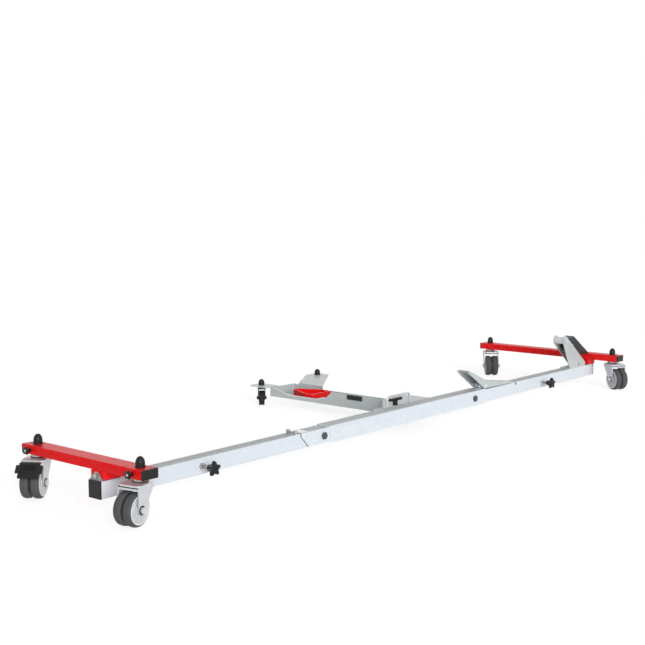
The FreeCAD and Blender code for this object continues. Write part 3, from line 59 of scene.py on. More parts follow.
# Camera fitted to the photograph, in millimetres from the rear stems, the rail's middle line and the floor
CAMERA_MM = (-1593.17, -1962.08, 700.71)
CAMERA_YAW, CAMERA_DOWN = 40.11, 6.41
FOCAL_PX, FRAME_PX, SENSOR_MM, CLIP_END = 1155.86, 645.0, 36.0, 50.0


def middle(node):
    low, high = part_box(node)
    return (low + high) / 2


REAR_X = middle("rear_castor_stems").x
RAIL_Y = middle("rear_rail").y


def at(x, y, z):
    """A point given in millimetres from the rear stems, the rail's middle line and the floor."""
    return Vector((REAR_X + x * MM, RAIL_Y + y * MM, z * MM))


# Sizes of the detail pieces
ALONG, ACROSS, UP = Vector((1.0, 0.0, 0.0)), Vector((0.0, 1.0, 0.0)), Vector((0.0, 0.0, 1.0))
NEARLY_UPRIGHT = 0.99
LATHE_STEPS, RING_STEPS, WASHER_STEPS, FOOT_WASHER_STEPS, SCREW_STEPS = 96, 48, 40, 32, 24
# Rounding of edges: width, number of faces, and the angles in degrees that count as flat, bevelled and sharp
EDGE, EDGE_STEPS, SLAB_ROUND, ROUND_PROFILE, WELD_GAP = 0.0006, 2, 0.5, 0.5, 2e-6
FLAT_ANGLE, BEVEL_ANGLE, SHARP_ANGLE, BEAD_SHARP_ANGLE = 0.6, 40.0, 35.0, 60.0
# Weld beads: spacing and number of points, ripple, lumps and the fade at each end
BEAD_STEP, BEAD_FEWEST, BEAD_SIDES, BEAD_INSET = 0.0011, 6, 12, 0.003
BEAD_RIPPLE, BEAD_WAVE, BEAD_LUMP, BEAD_LUMP_WAVE = 0.10, 1.4, 0.06, 0.37
BEAD_END, BEAD_RISE, BEAD_FADE, BEAD_RADIUS = 0.55, 0.45, 3.0, 0.0022
# Treads and hubs
SEAM, SEAM_DEEP, TREAD_CROWN, MOULD_LINE = 0.0006, 0.0015, 0.0004, 0.00025
SHOULDER, SHOULDER_STEPS = 0.0065, 8
HUB_DISH, HUB_BOSS, HUB_RIM, HUB_RING_SHARE, HUB_SPOKES = 0.0025, 0.010, 0.0065, 0.62, 8
RIB_WIDTH, RIB_HEIGHT, RIB_SINK, RIB_TAPER, HUB_RIM_WIDE = 0.0007, 0.0013, 0.0003, 0.9, 0.0036
SPACER_RISE, SPACER_BITE, SPACER_BORE = 0.0020, 0.0002, 0.0060
# Star knobs: stations of (share of the height, share of the radius, how lobed), from the back to the face
STAR_STEPS, STAR_LOBES, STAR_DEPTH, STAR_RISE = 100, 5, 0.40, 0.933
RAIL_STAR_SHARPNESS, STEM_STAR_SHARPNESS = 1.7, 1.0
STAR_STATIONS = ((0.0, 0.50, 0.0), (0.30, 0.54, 0.0), (0.36, 0.90, 0.9), (0.44, 1.0, 1.0), (0.80, 1.0, 1.0),
                 (0.93, 0.96, 1.0), (1.0, 0.86, 0.9), (0.99, 0.55, 0.3), (0.90, 0.42, 0.0))
RAIL_KNOB_HEIGHT, STEM_KNOB_HEIGHT, CLAMP_STUD, STEM_STUD = 0.016, 0.009, 0.004, 0.003
NECK_SHARE, RAIL_KNOB_NECK, STEM_KNOB_NECK = 0.44, 0.006, 0.0055
SCREW_SHARE, SCREW_HEIGHT, THREAD_PITCH, THREAD_ROOT = 0.30, 0.0012, 0.00125, 0.86
# Screw heads as (share of the radius, share of the height), from the foot to the socket
SCREW_PROFILE = ((1.0, -1.0), (1.0, 0.4), (0.85, 1.0), (0.5, 1.0), (0.42, 0.0), (0.1, 0.0))
# Castors: washers on the legs, seals on the races, collars under the bullet caps
LEG_FACE, AXLE_RADIUS, WASHER, WASHER_WALL = 0.028, 0.004, 0.0102, 0.0008
RACE_HEIGHT, SEAL_LIFT, SEAL_INNER, SEAL_OUTER = 0.008, 0.0006, 0.0155, 0.0178
SEAL_WALL, SEAL_ROUND = 0.0016, 0.0005
CROWN_WALL, CROWN_BACK, GROOVE = 0.004, -0.043, 0.0025
COLLAR, COLLAR_INNER, COLLAR_HEIGHT, COLLAR_STEP, COLLAR_SLOPE = 0.0118, 0.0095, 0.0018, 0.6, 0.4
# Pedal ribs
PEDAL_X, PEDAL_TOP, PEDAL_REACH, PEDAL_DROP = -0.0505, 0.087, 0.024, 0.027
PEDAL_RIBS, PEDAL_RIB_FROM, PEDAL_RIB_STEP, PEDAL_RIB_HALF, PEDAL_RIB_TAPER = 4, 0.005, 0.004, 0.016, 0.94
# The arm's near lip: millimetres from the rail's middle line and above the floor
ARM_LIP_MM = ((360.0, 53.6), (405.0, 45.0), (500.0, 45.0), (588.0, 60.8))
LIP_STEPS, LIP_CLEAR, LIP_OUT, ARM_WALL, HEM = 60, 0.04, 0.004, 0.003, 0.0021
# The rail's screw, its outline in shares of its radius
RAIL_SCREW, RAIL_SCREW_MM = 0.0035, (1702.0, -25.0, 74.0)
RAIL_SCREW_PROFILE = ((1.0, 0.2), (0.8, 0.4), (0.5, 0.4), (0.4, 0.0), (0.1, 0.0))
# Painted shade: a black strip along the slanted joint of the rear hinge; and the bolt at the foot of the stop
JOINT_SHADE_WIDE, JOINT_SHADE_WALL, JOINT_SHADE_INSET = 0.0026, 0.0026, 0.0003
JOINT_LIP, JOINT_LEAN, PLATE_LONG, PLATE_WALL, PLATE_INSET = 0.0088, 0.030, 0.030, 0.0010, 0.0015
FOOT_BOLT, FOOT_BOLT_SIDES, FOOT_WASHER, FOOT_WASHER_WALL = 0.0052, 6, 0.0072, 0.0012
FOOT_BOLT_IN, FOOT_BOLT_UP, FOOT_BOLT_PROFILE = 0.046, 0.012, ((1.0, 0.0), (1.0, 0.6), (0.85, 0.75))


# Materials: scales of the textures per metre, their shares, and the depths of the bumps in metres

SHINE, DETAIL = 0.3, 3.0
MIX_LOW, MIX_HIGH, MIX_OUT = 6, 7, 2
# Wear on convex edges: range of pointiness, and the noise that breaks it up
WEAR_FROM, WEAR_TO, SOFT_WEAR_TO = 0.51, 0.6, 0.62
WEAR_SPOTS, WEAR_DETAIL, WEAR_SPOT_FROM, WEAR_SPOT_TO = 90.0, 4.0, 0.42, 0.62
# Painted shade on the faces that look up: how upright the normal is, and the streaks that break it up; less
# upright rounded corners keep the paler colour
TOP_FROM, TOP_TO, TOP_SHARE = 0.92, 0.995, 0.95
STREAKS, STREAK_DETAIL, STREAK_STRETCH = 14.0, 4.0, (0.4, 3.0, 1.0)
STREAK_FROM, STREAK_TO, STREAK_LEAST = 0.3, 0.7, 0.8
# Zinc: crystal patches, cloudy gloss, brighter edges, drawn lines and spangles
CRYSTALS, CRYSTAL_SPREAD, ZINC_CLOUDS, ZINC_GLOSS = 110.0, 0.02, 9.0, 0.08
ZINC_EDGE_LIFT, ZINC_EDGE_SHARE = 1.25, 0.5
DRAWN_LINES, DRAWN_STRETCH, DRAWN_STRENGTH, DRAWN_DEPTH = 120.0, (0.15, 4.0, 4.0), 0.06, 0.0004
SPANGLES, SPANGLE_STRENGTH, SPANGLE_DEPTH = 160.0, 0.015, 0.0003
# Paint: clouds, uneven gloss, paler edges and a fine peel
PAINT_ROUGHNESS, PAINT_SHINE, PAINT_CLOUDS, PAINT_SPREAD = 0.40, 0.1, 6.0, 0.07
PAINT_GLOSS_SCALE, PAINT_GLOSS = 25.0, 0.05
PAINT_EDGE, PAINT_EDGE_SHARE = (0.86, 0.14, 0.11), 0.4
PEEL, PEEL_DETAIL, PEEL_STRENGTH, PEEL_DEPTH = 700.0, 2.0, 0.05, 0.0003
# Moulded plastic: clouds, uneven gloss, paler edges and grain
MOULD_CLOUDS, MOULD_SPREAD, MOULD_GLOSS_SCALE, MOULD_GLOSS = 40.0, 0.16, 18.0, 0.08
MOULD_EDGE_LIFT, MOULD_EDGE_ADD, MOULD_EDGE_SHARE = 1.6, 0.01, 0.5
GRAIN, COARSE_GRAIN, PEDAL_GRAIN = 1400.0, 700.0, 500.0
GRAIN_DETAIL, GRAIN_STRENGTH, GRAIN_DEPTH = 2.0, 0.18, 0.0003
# Rubber: clouds, uneven gloss, scuffed edges and grain
RUBBER_ROUGHNESS, RUBBER_SHINE, RUBBER_CLOUDS, RUBBER_DETAIL, RUBBER_SPREAD = 0.66, 0.2, 55.0, 5.0, 0.16
RUBBER_EDGE_LIFT, RUBBER_EDGE_SHARE, RUBBER_GLOSS_SCALE, RUBBER_GLOSS = 1.4, 0.4, 30.0, 0.1
RUBBER_GRAIN, RUBBER_GRAIN_DETAIL, RUBBER_GRAIN_STRENGTH, RUBBER_GRAIN_DEPTH = 600.0, 4.0, 0.15, 0.0004


def add_node(tree, kind, inputs=None, **settings):
    """Adds a node with its settings; each input is linked to a socket or set to a value."""
    made = tree.nodes.new(kind)
    for key, value in settings.items():
        setattr(made, key, value)
    for key, value in (inputs or {}).items():
        if isinstance(value, bpy.types.NodeSocket):
            tree.links.new(value, made.inputs[key])
        else:
            made.inputs[key].default_value = value
    return made


class Shader:
    """A Principled material whose colour, roughness and bump are built from a few texture nodes."""

    def __init__(self, name, colour, roughness, metallic=0.0, shine=SHINE):
        self.material = bpy.data.materials.new(name)
        self.material.use_nodes = True
        self.tree = self.material.node_tree
        self.shader = self.tree.nodes["Principled BSDF"]
        self.set("Base Color", (*colour, 1.0))
        self.set("Roughness", roughness)
        self.set("Metallic", metallic)
        self.set("Specular IOR Level", shine)
        self.colour = colour
        self.roughness = roughness
        self.coords = self.node("ShaderNodeTexCoord").outputs["Object"]
        self.normal = None
        self.painted = None

    def set(self, socket, value):
        self.shader.inputs[socket].default_value = value

    def node(self, kind, inputs=None, **settings):
        return add_node(self.tree, kind, inputs, **settings)

    def stretched(self, scale):
        return self.node("ShaderNodeMapping", {"Vector": self.coords, "Scale": scale}).outputs["Vector"]

    def noise(self, scale, detail=DETAIL, vector=None):
        return self.node("ShaderNodeTexNoise", {"Vector": vector or self.coords, "Scale": scale,
                                                "Detail": detail}).outputs["Fac"]

    def cells(self, scale):
        return self.node("ShaderNodeTexVoronoi", {"Vector": self.coords, "Scale": scale}).outputs["Color"]

    def between(self, factor, low, high):
        """A colour that goes from low to high with a factor."""
        mix = self.node("ShaderNodeMix", {"Factor": factor, MIX_LOW: low, MIX_HIGH: high}, data_type="RGBA")
        self.painted = mix.outputs[MIX_OUT]
        self.tree.links.new(self.painted, self.shader.inputs["Base Color"])

    def vary_colour(self, factor, spread):
        """Shifts the colour darker and lighter with a texture."""
        low = [max(0.0, value * (1 - spread)) for value in self.colour]
        high = [min(1.0, value * (1 + spread)) for value in self.colour]
        self.between(factor, (*low, 1.0), (*high, 1.0))

    def ramp(self, factor, start, end, high, low=0.0):
        return self.node("ShaderNodeMapRange", {"Value": factor, "From Min": start, "From Max": end,
                                                "To Min": low, "To Max": high}).outputs["Result"]

    def lay_over(self, colour, share, patches):
        """Lays a colour over what is there, by a share that patches break up."""
        worn = self.node("ShaderNodeMath", {0: share, 1: patches}, operation="MULTIPLY").outputs[0]
        self.between(worn, self.painted, (*colour, 1.0))

    def worn_edges(self, colour, share, end=SOFT_WEAR_TO):
        """Lightens or bares the convex edges, broken up by a fine noise."""
        edge = self.ramp(self.node("ShaderNodeNewGeometry").outputs["Pointiness"], WEAR_FROM, end, share)
        spots = self.ramp(self.noise(WEAR_SPOTS, WEAR_DETAIL), WEAR_SPOT_FROM, WEAR_SPOT_TO, 1.0)
        self.lay_over(colour, edge, spots)

    def painted_top_shade(self, colour):
        """Darkens the faces that look up with a painted shade, in long uneven streaks."""
        facing = self.node("ShaderNodeSeparateXYZ", {0: self.node("ShaderNodeNewGeometry").outputs["Normal"]})
        top = self.ramp(facing.outputs["Z"], TOP_FROM, TOP_TO, TOP_SHARE)
        streaks = self.noise(STREAKS, STREAK_DETAIL, self.stretched(STREAK_STRETCH))
        self.lay_over(colour, top, self.ramp(streaks, STREAK_FROM, STREAK_TO, 1.0, STREAK_LEAST))

    def vary_roughness(self, factor, spread):
        spread_node = self.node("ShaderNodeMapRange", {"Value": factor, "To Min": self.roughness - spread,
                                                       "To Max": self.roughness + spread})
        self.tree.links.new(spread_node.outputs["Result"], self.shader.inputs["Roughness"])

    def bump(self, height, strength, distance):
        inputs = {"Height": height, "Strength": strength, "Distance": distance}
        if self.normal is not None:
            inputs["Normal"] = self.normal
        self.normal = self.node("ShaderNodeBump", inputs).outputs["Normal"]
        self.tree.links.new(self.normal, self.shader.inputs["Normal"])


def zinc_sheet(name, colour, roughness, metallic, top=None):
    """Bright zinc plate: faint crystal patches, fine drawn lines along the rail and soft cloudy gloss."""
    made = Shader(name, colour, roughness, metallic)
    made.vary_colour(made.cells(CRYSTALS), CRYSTAL_SPREAD)
    # A top colour, where given, is laid on the faces that look up as painted shade.
    if top:
        made.painted_top_shade(top)
    made.worn_edges([min(1.0, value * ZINC_EDGE_LIFT) for value in colour], ZINC_EDGE_SHARE, WEAR_TO)
    made.vary_roughness(made.noise(ZINC_CLOUDS), ZINC_GLOSS)
    made.bump(made.noise(DRAWN_LINES, vector=made.stretched(DRAWN_STRETCH)), DRAWN_STRENGTH, DRAWN_DEPTH)
    made.bump(made.cells(SPANGLES), SPANGLE_STRENGTH, SPANGLE_DEPTH)
    return made.material


def gloss_paint(name, colour):
    made = Shader(name, colour, PAINT_ROUGHNESS, shine=PAINT_SHINE)
    made.vary_colour(made.noise(PAINT_CLOUDS), PAINT_SPREAD)
    made.worn_edges(PAINT_EDGE, PAINT_EDGE_SHARE, WEAR_TO)
    made.vary_roughness(made.noise(PAINT_GLOSS_SCALE), PAINT_GLOSS)
    made.bump(made.noise(PEEL, PEEL_DETAIL), PEEL_STRENGTH, PEEL_DEPTH)
    return made.material


def moulded(name, colour, roughness, grain=GRAIN):
    made = Shader(name, colour, roughness)
    made.vary_colour(made.noise(MOULD_CLOUDS), MOULD_SPREAD)
    made.worn_edges([min(1.0, value * MOULD_EDGE_LIFT + MOULD_EDGE_ADD) for value in colour],
                    MOULD_EDGE_SHARE)
    made.vary_roughness(made.noise(MOULD_GLOSS_SCALE), MOULD_GLOSS)
    made.bump(made.noise(grain, GRAIN_DETAIL), GRAIN_STRENGTH, GRAIN_DEPTH)
    return made.material


def tread_rubber(name, colour):
    made = Shader(name, colour, RUBBER_ROUGHNESS, shine=RUBBER_SHINE)
    made.vary_colour(made.noise(RUBBER_CLOUDS, RUBBER_DETAIL), RUBBER_SPREAD)
    made.worn_edges([value * RUBBER_EDGE_LIFT for value in colour], RUBBER_EDGE_SHARE)
    made.vary_roughness(made.noise(RUBBER_GLOSS_SCALE), RUBBER_GLOSS)
    made.bump(made.noise(RUBBER_GRAIN, RUBBER_GRAIN_DETAIL), RUBBER_GRAIN_STRENGTH, RUBBER_GRAIN_DEPTH)
    return made.material


LOOKS = {
    # The rail's last colour is painted shade, laid darker on its faces that look up.
    "rail_paint": zinc_sheet("rail_plate", (0.74, 0.79, 0.85), 0.5, 0.0, (0.36, 0.37, 0.36)),
    "red_paint": gloss_paint("red_coat", (0.86, 0.008, 0.010)),
    "zinc": zinc_sheet("bright_zinc", (0.64, 0.66, 0.69), 0.34, 0.40),
    "black_plastic": moulded("black_moulding", (0.006, 0.006, 0.006), 0.42),
    "dark_paint": moulded("dark_coat", (0.014, 0.014, 0.016), 0.40, COARSE_GRAIN),
    "grey_tread": tread_rubber("grey_tread", (0.088, 0.089, 0.091)),
    "dark_tread": tread_rubber("dark_tread", (0.016, 0.016, 0.017)),
    "pale_hub": moulded("pale_hub", (0.60, 0.61, 0.63), 0.42),
}
# Nodes whose finish differs a little from the rest of their slot
SAGE = zinc_sheet("sage_zinc", (0.54, 0.58, 0.58), 0.44, 0.10)
STEEL = zinc_sheet("dark_steel", (0.20, 0.20, 0.21), 0.34, 0.70)
GREY_ZINC = zinc_sheet("grey_zinc", (0.34, 0.34, 0.34), 0.28, 0.70)
FASTENER_ZINC = zinc_sheet("fastener_zinc", (0.44, 0.44, 0.43), 0.26, 0.75)
# A paler copy of the hub plastic for the hub rims: a painted highlight.
HUB_RIM_HIGHLIGHT_LOOK = moulded("hub_rim", (0.78, 0.79, 0.81), 0.36)
PEDAL_LOOK = moulded("pedal_moulding", (0.006, 0.006, 0.006), 0.22, PEDAL_GRAIN)
BOLT_LOOK = zinc_sheet("bolt_steel", (0.075, 0.080, 0.090), 0.40, 0.30)
OWN_LOOKS = {"pivot_bolts": BOLT_LOOK, "side_arm": SAGE, "arm_bracket": SAGE, "stop_bracket": SAGE,
             "rear_fasteners": FASTENER_ZINC, "rear_end_bracket": GREY_ZINC, "rocker_plate": SAGE,
             "brake_pedal": PEDAL_LOOK}


# Pieces

def soften(obj):
    """Rounds the sharp edges of a CAD node with modifiers and leaves its own mesh as it is."""
    weld = obj.modifiers.new("weld", "WELD")
    weld.merge_threshold = WELD_GAP
    flat = obj.modifiers.new("flat", "DECIMATE")
    flat.decimate_type = "DISSOLVE"
    flat.angle_limit = math.radians(FLAT_ANGLE)
    bevel = obj.modifiers.new("edge", "BEVEL")
    bevel.width = EDGE
    bevel.segments = EDGE_STEPS
    bevel.limit_method = "ANGLE"
    bevel.angle_limit = math.radians(BEVEL_ANGLE)
    bevel.use_clamp_overlap = True
    bevel.harden_normals = False
    obj.modifiers.new("shade", "WEIGHTED_NORMAL").keep_sharp = True


def dress_nodes():
    for entry in frame["record"]["subparts"]:
        obj = nodes[entry["node"]]
        obj.data.materials.clear()
        obj.data.materials.append(OWN_LOOKS.get(entry["node"], LOOKS[entry["material_slot"]]))
        soften(obj)


def mesh_piece(name, bm, body, slot, look=None, sharp=SHARP_ANGLE):
    """Turns a bmesh into a named piece with smooth faces and sharp edges, riding on a body.

    It takes the look of its slot unless it has its own.
    """
    bmesh.ops.recalc_face_normals(bm, faces=bm.faces)
    for face in bm.faces:
        face.smooth = True
    for edge in bm.edges:
        edge.smooth = not edge.is_manifold or edge.calc_face_angle() < math.radians(sharp)
    mesh = bpy.data.meshes.new(name)
    bm.to_mesh(mesh)
    bm.free()
    mesh.materials.append(look or LOOKS[slot])
    obj = bpy.data.objects.new(name, mesh)
    bpy.context.scene.collection.objects.link(obj)
    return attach(obj, body)


def axes_about(axis):
    """The axis and two unit vectors square to it, the last as near upright as it can be."""
    axis = Vector(axis).normalized()
    aside = (UP.cross(axis) if abs(axis.z) < NEARLY_UPRIGHT else ALONG).normalized()
    return axis, aside, axis.cross(aside)


def loft(bm, rings, closed_ends=True, closed_loop=False):
    """Joins rings of points with quads; the first and last rings are capped or joined to each other."""
    made = [[bm.verts.new(point) for point in ring] for ring in rings]
    pairs = list(zip(made, made[1:])) + ([(made[-1], made[0])] if closed_loop else [])
    for low, high in pairs:
        for index in range(len(low)):
            following = (index + 1) % len(low)
            bm.faces.new((low[index], low[following], high[following], high[index]))
    if closed_ends and not closed_loop:
        bm.faces.new(made[0][::-1])
        bm.faces.new(made[-1])


def turned(bm, profile, centre, axis, steps=LATHE_STEPS, closed_loop=False):
    """Turns a profile of (radius, distance along the axis) about the axis."""
    axis, aside, upright = axes_about(axis)
    rings = []
    for radius, along in profile:
        ring = []
        for step in range(steps):
            angle = FULL_TURN * step / steps
            ring.append(centre + axis * along + aside * radius * math.cos(angle)
                        + upright * radius * math.sin(angle))
        rings.append(ring)
    loft(bm, rings, closed_loop=closed_loop)


def slab(bm, centre, sides, half, taper=1.0):
    """A block on three directions whose top is narrowed by a taper, with its edges rounded."""
    along, across, up = sides
    low = [centre + along * half[0] * a + across * half[1] * b - up * half[2]
           for a, b in ((-1, -1), (1, -1), (1, 1), (-1, 1))]
    high = [centre + (along * half[0] * a + across * half[1] * b) * taper + up * half[2]
            for a, b in ((-1, -1), (1, -1), (1, 1), (-1, 1))]
    before = set(bm.edges)
    loft(bm, [low, high])
    fresh = [edge for edge in bm.edges if edge not in before]
    bmesh.ops.bevel(bm, geom=fresh, offset=min(half) * SLAB_ROUND, segments=EDGE_STEPS,
                    affect="EDGES", profile=ROUND_PROFILE)


def bead(bm, start, end, radius):
    """A weld bead: a lumpy half-buried cord laid along a corner."""
    start, end = Vector(start), Vector(end)
    way, aside, upright = axes_about(end - start)
    length = (end - start).length
    count = max(BEAD_FEWEST, int(length / BEAD_STEP))
    rings = []
    for index in range(count + 1):
        share = index / count
        ripple = 1 + BEAD_RIPPLE * math.sin(index * BEAD_WAVE) + BEAD_LUMP * math.sin(index * BEAD_LUMP_WAVE)
        size = radius * ripple * min(1.0, BEAD_END + BEAD_RISE * min(share, 1 - share) * count / BEAD_FADE)
        centre = start + way * length * share
        rings.append([centre + (aside * math.cos(FULL_TURN * k / BEAD_SIDES)
                                + upright * math.sin(FULL_TURN * k / BEAD_SIDES)) * size
                      for k in range(BEAD_SIDES)])
    loft(bm, rings)


def wheel_sizes(node, centre, axis):
    """Inner and outer radius, and inner and outer distance along the axle, of a wheel node."""
    radii, reach = [], []
    for vertex in nodes[node].data.vertices:
        offset = vertex.co - centre
        along = offset.dot(axis)
        reach.append(abs(along))
        radii.append((offset - axis * along).length)
    return min(radii), max(radii), min(reach), max(reach)


def tyre_profile(inner, outer, start, end):
    """A tread with a slight crown, a mould line, rounded shoulders and a groove where it meets the hub."""
    ridge = (start + end) / 2
    shoulder = outer - TREAD_CROWN - SHOULDER
    points = [(inner + SEAM, start), (inner + SEAM, start + SEAM_DEEP), (inner, start + SEAM_DEEP),
              (inner, end - SEAM_DEEP), (inner + SEAM, end - SEAM_DEEP), (inner + SEAM, end)]
    for step in range(SHOULDER_STEPS + 1):
        angle = math.pi / 2 * step / SHOULDER_STEPS
        points.append((shoulder + SHOULDER * math.sin(angle),
                       end - SHOULDER + SHOULDER * math.cos(angle)))
    for width, height in ((MOULD_LINE * 2, MOULD_LINE), (MOULD_LINE, 0.0)):
        points.append((outer - height, ridge + width))
    for width, height in ((MOULD_LINE, 0.0), (MOULD_LINE * 2, MOULD_LINE)):
        points.append((outer - height, ridge - width))
    for step in range(SHOULDER_STEPS, -1, -1):
        angle = math.pi / 2 * step / SHOULDER_STEPS
        points.append((shoulder + SHOULDER * math.sin(angle),
                       start + SHOULDER - SHOULDER * math.cos(angle)))
    return points


def dress_wheels():
    """Turned treads, hub rims in a paler copy of the hub plastic as a painted highlight, and ribs, and a black
    disc between the twin wheels as painted shade in their gap, placed by each roll joint.
    """
    for end in ENDS:
        for spot in SPOTS:
            name = f"{end}_{spot}"
            joint = joints[f"{name}_roll"]
            centre, axis = Vector(joint["pos_m"]), Vector(joint["axis"]).normalized()
            inner, outer, start, reach = wheel_sizes(f"{name}_tyres", centre, axis)
            tread, ribs, twin_wheel_shade, rim_highlights = [bmesh.new() for _ in range(4)]
            for side in (axis, -axis):
                turned(tread, tyre_profile(inner, outer, start, reach), centre, side, closed_loop=True)
                hub_face(ribs, centre, side, inner, reach)
                # The rim rings take the paler hub colour as a painted highlight.
                turned(rim_highlights, [(inner - HUB_RIM_WIDE, reach - RIB_SINK), (inner, reach - RIB_SINK),
                              (inner - RIB_SINK, reach + RIB_SINK),
                              (inner - HUB_RIM_WIDE + RIB_SINK, reach + RIB_SINK)], centre, side,
                       closed_loop=True)
            # A black disc closes the gap between the twin wheels as painted shade.
            rim = inner + SPACER_RISE
            turned(twin_wheel_shade, [(rim, -start - SPACER_BITE), (rim, start + SPACER_BITE),
                            (SPACER_BORE, start + SPACER_BITE), (SPACER_BORE, -start - SPACER_BITE)],
                   centre, axis, closed_loop=True)
            mesh_piece(f"{name}_spacer", twin_wheel_shade, f"{name}_wheels", "black_plastic")
            piece = mesh_piece(f"{name}_treads", tread, f"{name}_wheels", "grey_tread")
            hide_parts(f"{name}_tyres")
            mesh_piece(f"{name}_hub_rims", rim_highlights, f"{name}_wheels", "pale_hub", HUB_RIM_HIGHLIGHT_LOOK)
            mesh_piece(f"{name}_hub_ribs", ribs, f"{name}_wheels", "pale_hub")


def hub_face(bm, centre, side, radius, reach):
    """A raised ring and spokes in the hub's dish."""
    floor = reach - HUB_DISH
    ring = radius * HUB_RING_SHARE
    turned(bm, [(ring - RIB_WIDTH, floor - RIB_SINK), (ring + RIB_WIDTH, floor - RIB_SINK),
                (ring + RIB_WIDTH / 2, floor + RIB_HEIGHT), (ring - RIB_WIDTH / 2, floor + RIB_HEIGHT)],
           centre, side, closed_loop=True)
    axis, aside, upright = axes_about(side)
    inner, outer = HUB_BOSS, radius - HUB_RIM
    for spoke in range(HUB_SPOKES):
        angle = FULL_TURN * spoke / HUB_SPOKES
        out = aside * math.cos(angle) + upright * math.sin(angle)
        place = centre + axis * (floor + (RIB_HEIGHT - RIB_SINK) / 2) + out * (inner + outer) / 2
        slab(bm, place, (out, axis.cross(out), axis),
             ((outer - inner) / 2, RIB_WIDTH, (RIB_HEIGHT + RIB_SINK) / 2), RIB_TAPER)


def star_ring(centre, axes, radius, lobe, along, sharpness):
    """One ring of a star knob; lobe goes from 0, round, to 1, fully lobed."""
    axis, aside, upright = axes
    ring = []
    for step in range(STAR_STEPS):
        angle = FULL_TURN * step / STAR_STEPS
        wave = (0.5 + 0.5 * math.cos(STAR_LOBES * (angle - math.pi / 2))) ** sharpness
        size = radius * (1 - lobe * STAR_DEPTH * (1 - wave))
        ring.append(centre + axis * along + (aside * math.cos(angle) + upright * math.sin(angle)) * size)
    return ring


def star_knob(node, joint_name, body, stud_radius, height, neck, sharpness, screw_slot):
    """A moulded star grip with a dished face, a screw in its middle and a threaded stud behind."""
    axis = Vector(joints[joint_name]["axis"]).normalized()
    low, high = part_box(node)
    centre = (low + high) / 2
    reach = sum(abs(part) * half for part, half in zip(axis, (high - low) / 2))
    radius = (high - low).z / 2 / STAR_RISE
    hub = Vector(joints[joint_name]["pos_m"])
    hub += axis * ((centre - hub).dot(axis))
    axes = axes_about(axis)
    grip = bmesh.new()
    rings = [star_ring(hub, axes, radius * scale, lobe, reach - height * (1 - share), sharpness)
             for share, scale, lobe in ((-neck / height, NECK_SHARE, 0.0), *STAR_STATIONS)]
    loft(grip, rings)
    piece = mesh_piece(f"{node}_grip", grip, body, "black_plastic")
    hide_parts(node)
    head, stud = bmesh.new(), bmesh.new()
    face = reach - height * (1 - STAR_STATIONS[-1][0])
    screw = radius * SCREW_SHARE
    turned(head, [(screw * wide, face + SCREW_HEIGHT * rise) for wide, rise in SCREW_PROFILE], hub, axis,
           SCREW_STEPS)
    profile = []
    along, back = -reach, reach - height
    while along < back:
        profile += [(stud_radius * THREAD_ROOT, along), (stud_radius, along + THREAD_PITCH / 2)]
        along += THREAD_PITCH
    turned(stud, profile + [(stud_radius * THREAD_ROOT, back)], hub, axis, SCREW_STEPS)
    mesh_piece(f"{node}_screw", head, body, screw_slot)
    mesh_piece(f"{node}_thread", stud, body, "zinc", STEEL)


def dress_knobs():
    for end in ENDS:
        star_knob(f"{end}_rail_knob", f"{end}_clamp_turn", f"{end}_clamp", CLAMP_STUD, RAIL_KNOB_HEIGHT,
                  RAIL_KNOB_NECK, RAIL_STAR_SHARPNESS, "dark_paint")
        for spot in SPOTS:
            name = f"{end}_{spot}_stem"
            star_knob(f"{name}_knob", f"{name}_clamp_turn", f"{name}_clamp", STEM_STUD, STEM_KNOB_HEIGHT,
                      STEM_KNOB_NECK, STEM_STAR_SHARPNESS, "zinc")


def dress_castors():
    """Dark washers under the axle nuts, a black strip in the groove under each crown as painted shade, and a seal
    round each race.
    """
    for end in ENDS:
        seals = bmesh.new()
        for spot in SPOTS:
            name = f"{end}_{spot}"
            joint = joints[f"{name}_roll"]
            centre, axis = Vector(joint["pos_m"]), Vector(joint["axis"]).normalized()
            washers = bmesh.new()
            for side in (axis, -axis):
                turned(washers, [(AXLE_RADIUS, LEG_FACE), (WASHER, LEG_FACE),
                                 (WASHER, LEG_FACE + WASHER_WALL / 2),
                                 (WASHER - WASHER_WALL / 2, LEG_FACE + WASHER_WALL),
                                 (AXLE_RADIUS, LEG_FACE + WASHER_WALL)], centre, side, WASHER_STEPS,
                       closed_loop=True)
            mesh_piece(f"{name}_axle_washers", washers, f"{name}_castor", "dark_paint")
            across, ahead = axis, axis.cross(UP)
            stem = Vector(joints[f"{name}_swivel"]["pos_m"])
            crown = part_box(f"{end}_beam")[0].z - RACE_HEIGHT - CROWN_WALL
            # A black strip in the crown's groove: painted shade.
            groove_shade = bmesh.new()
            slab(groove_shade, Vector((stem.x, stem.y, crown - GROOVE / 2)) + ahead * (CROWN_BACK + GROOVE / 2),
                 (across, ahead, UP), (LEG_FACE - GROOVE / 2, GROOVE / 2 + RIB_SINK, GROOVE / 2))
            mesh_piece(f"{name}_crown_groove_shade", groove_shade, f"{name}_castor", "black_plastic")
            foot = Vector((stem.x, stem.y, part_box(f"{end}_beam")[0].z - RACE_HEIGHT + SEAL_LIFT))
            turned(seals, [(SEAL_INNER, 0.0), (SEAL_OUTER - SEAL_ROUND, 0.0), (SEAL_OUTER, SEAL_ROUND),
                           (SEAL_OUTER, SEAL_WALL - SEAL_ROUND), (SEAL_OUTER - SEAL_ROUND, SEAL_WALL),
                           (SEAL_INNER, SEAL_WALL)], foot, UP, RING_STEPS, closed_loop=True)
        mesh_piece(f"{end}_race_seals", seals, f"{end}_section", "black_plastic")


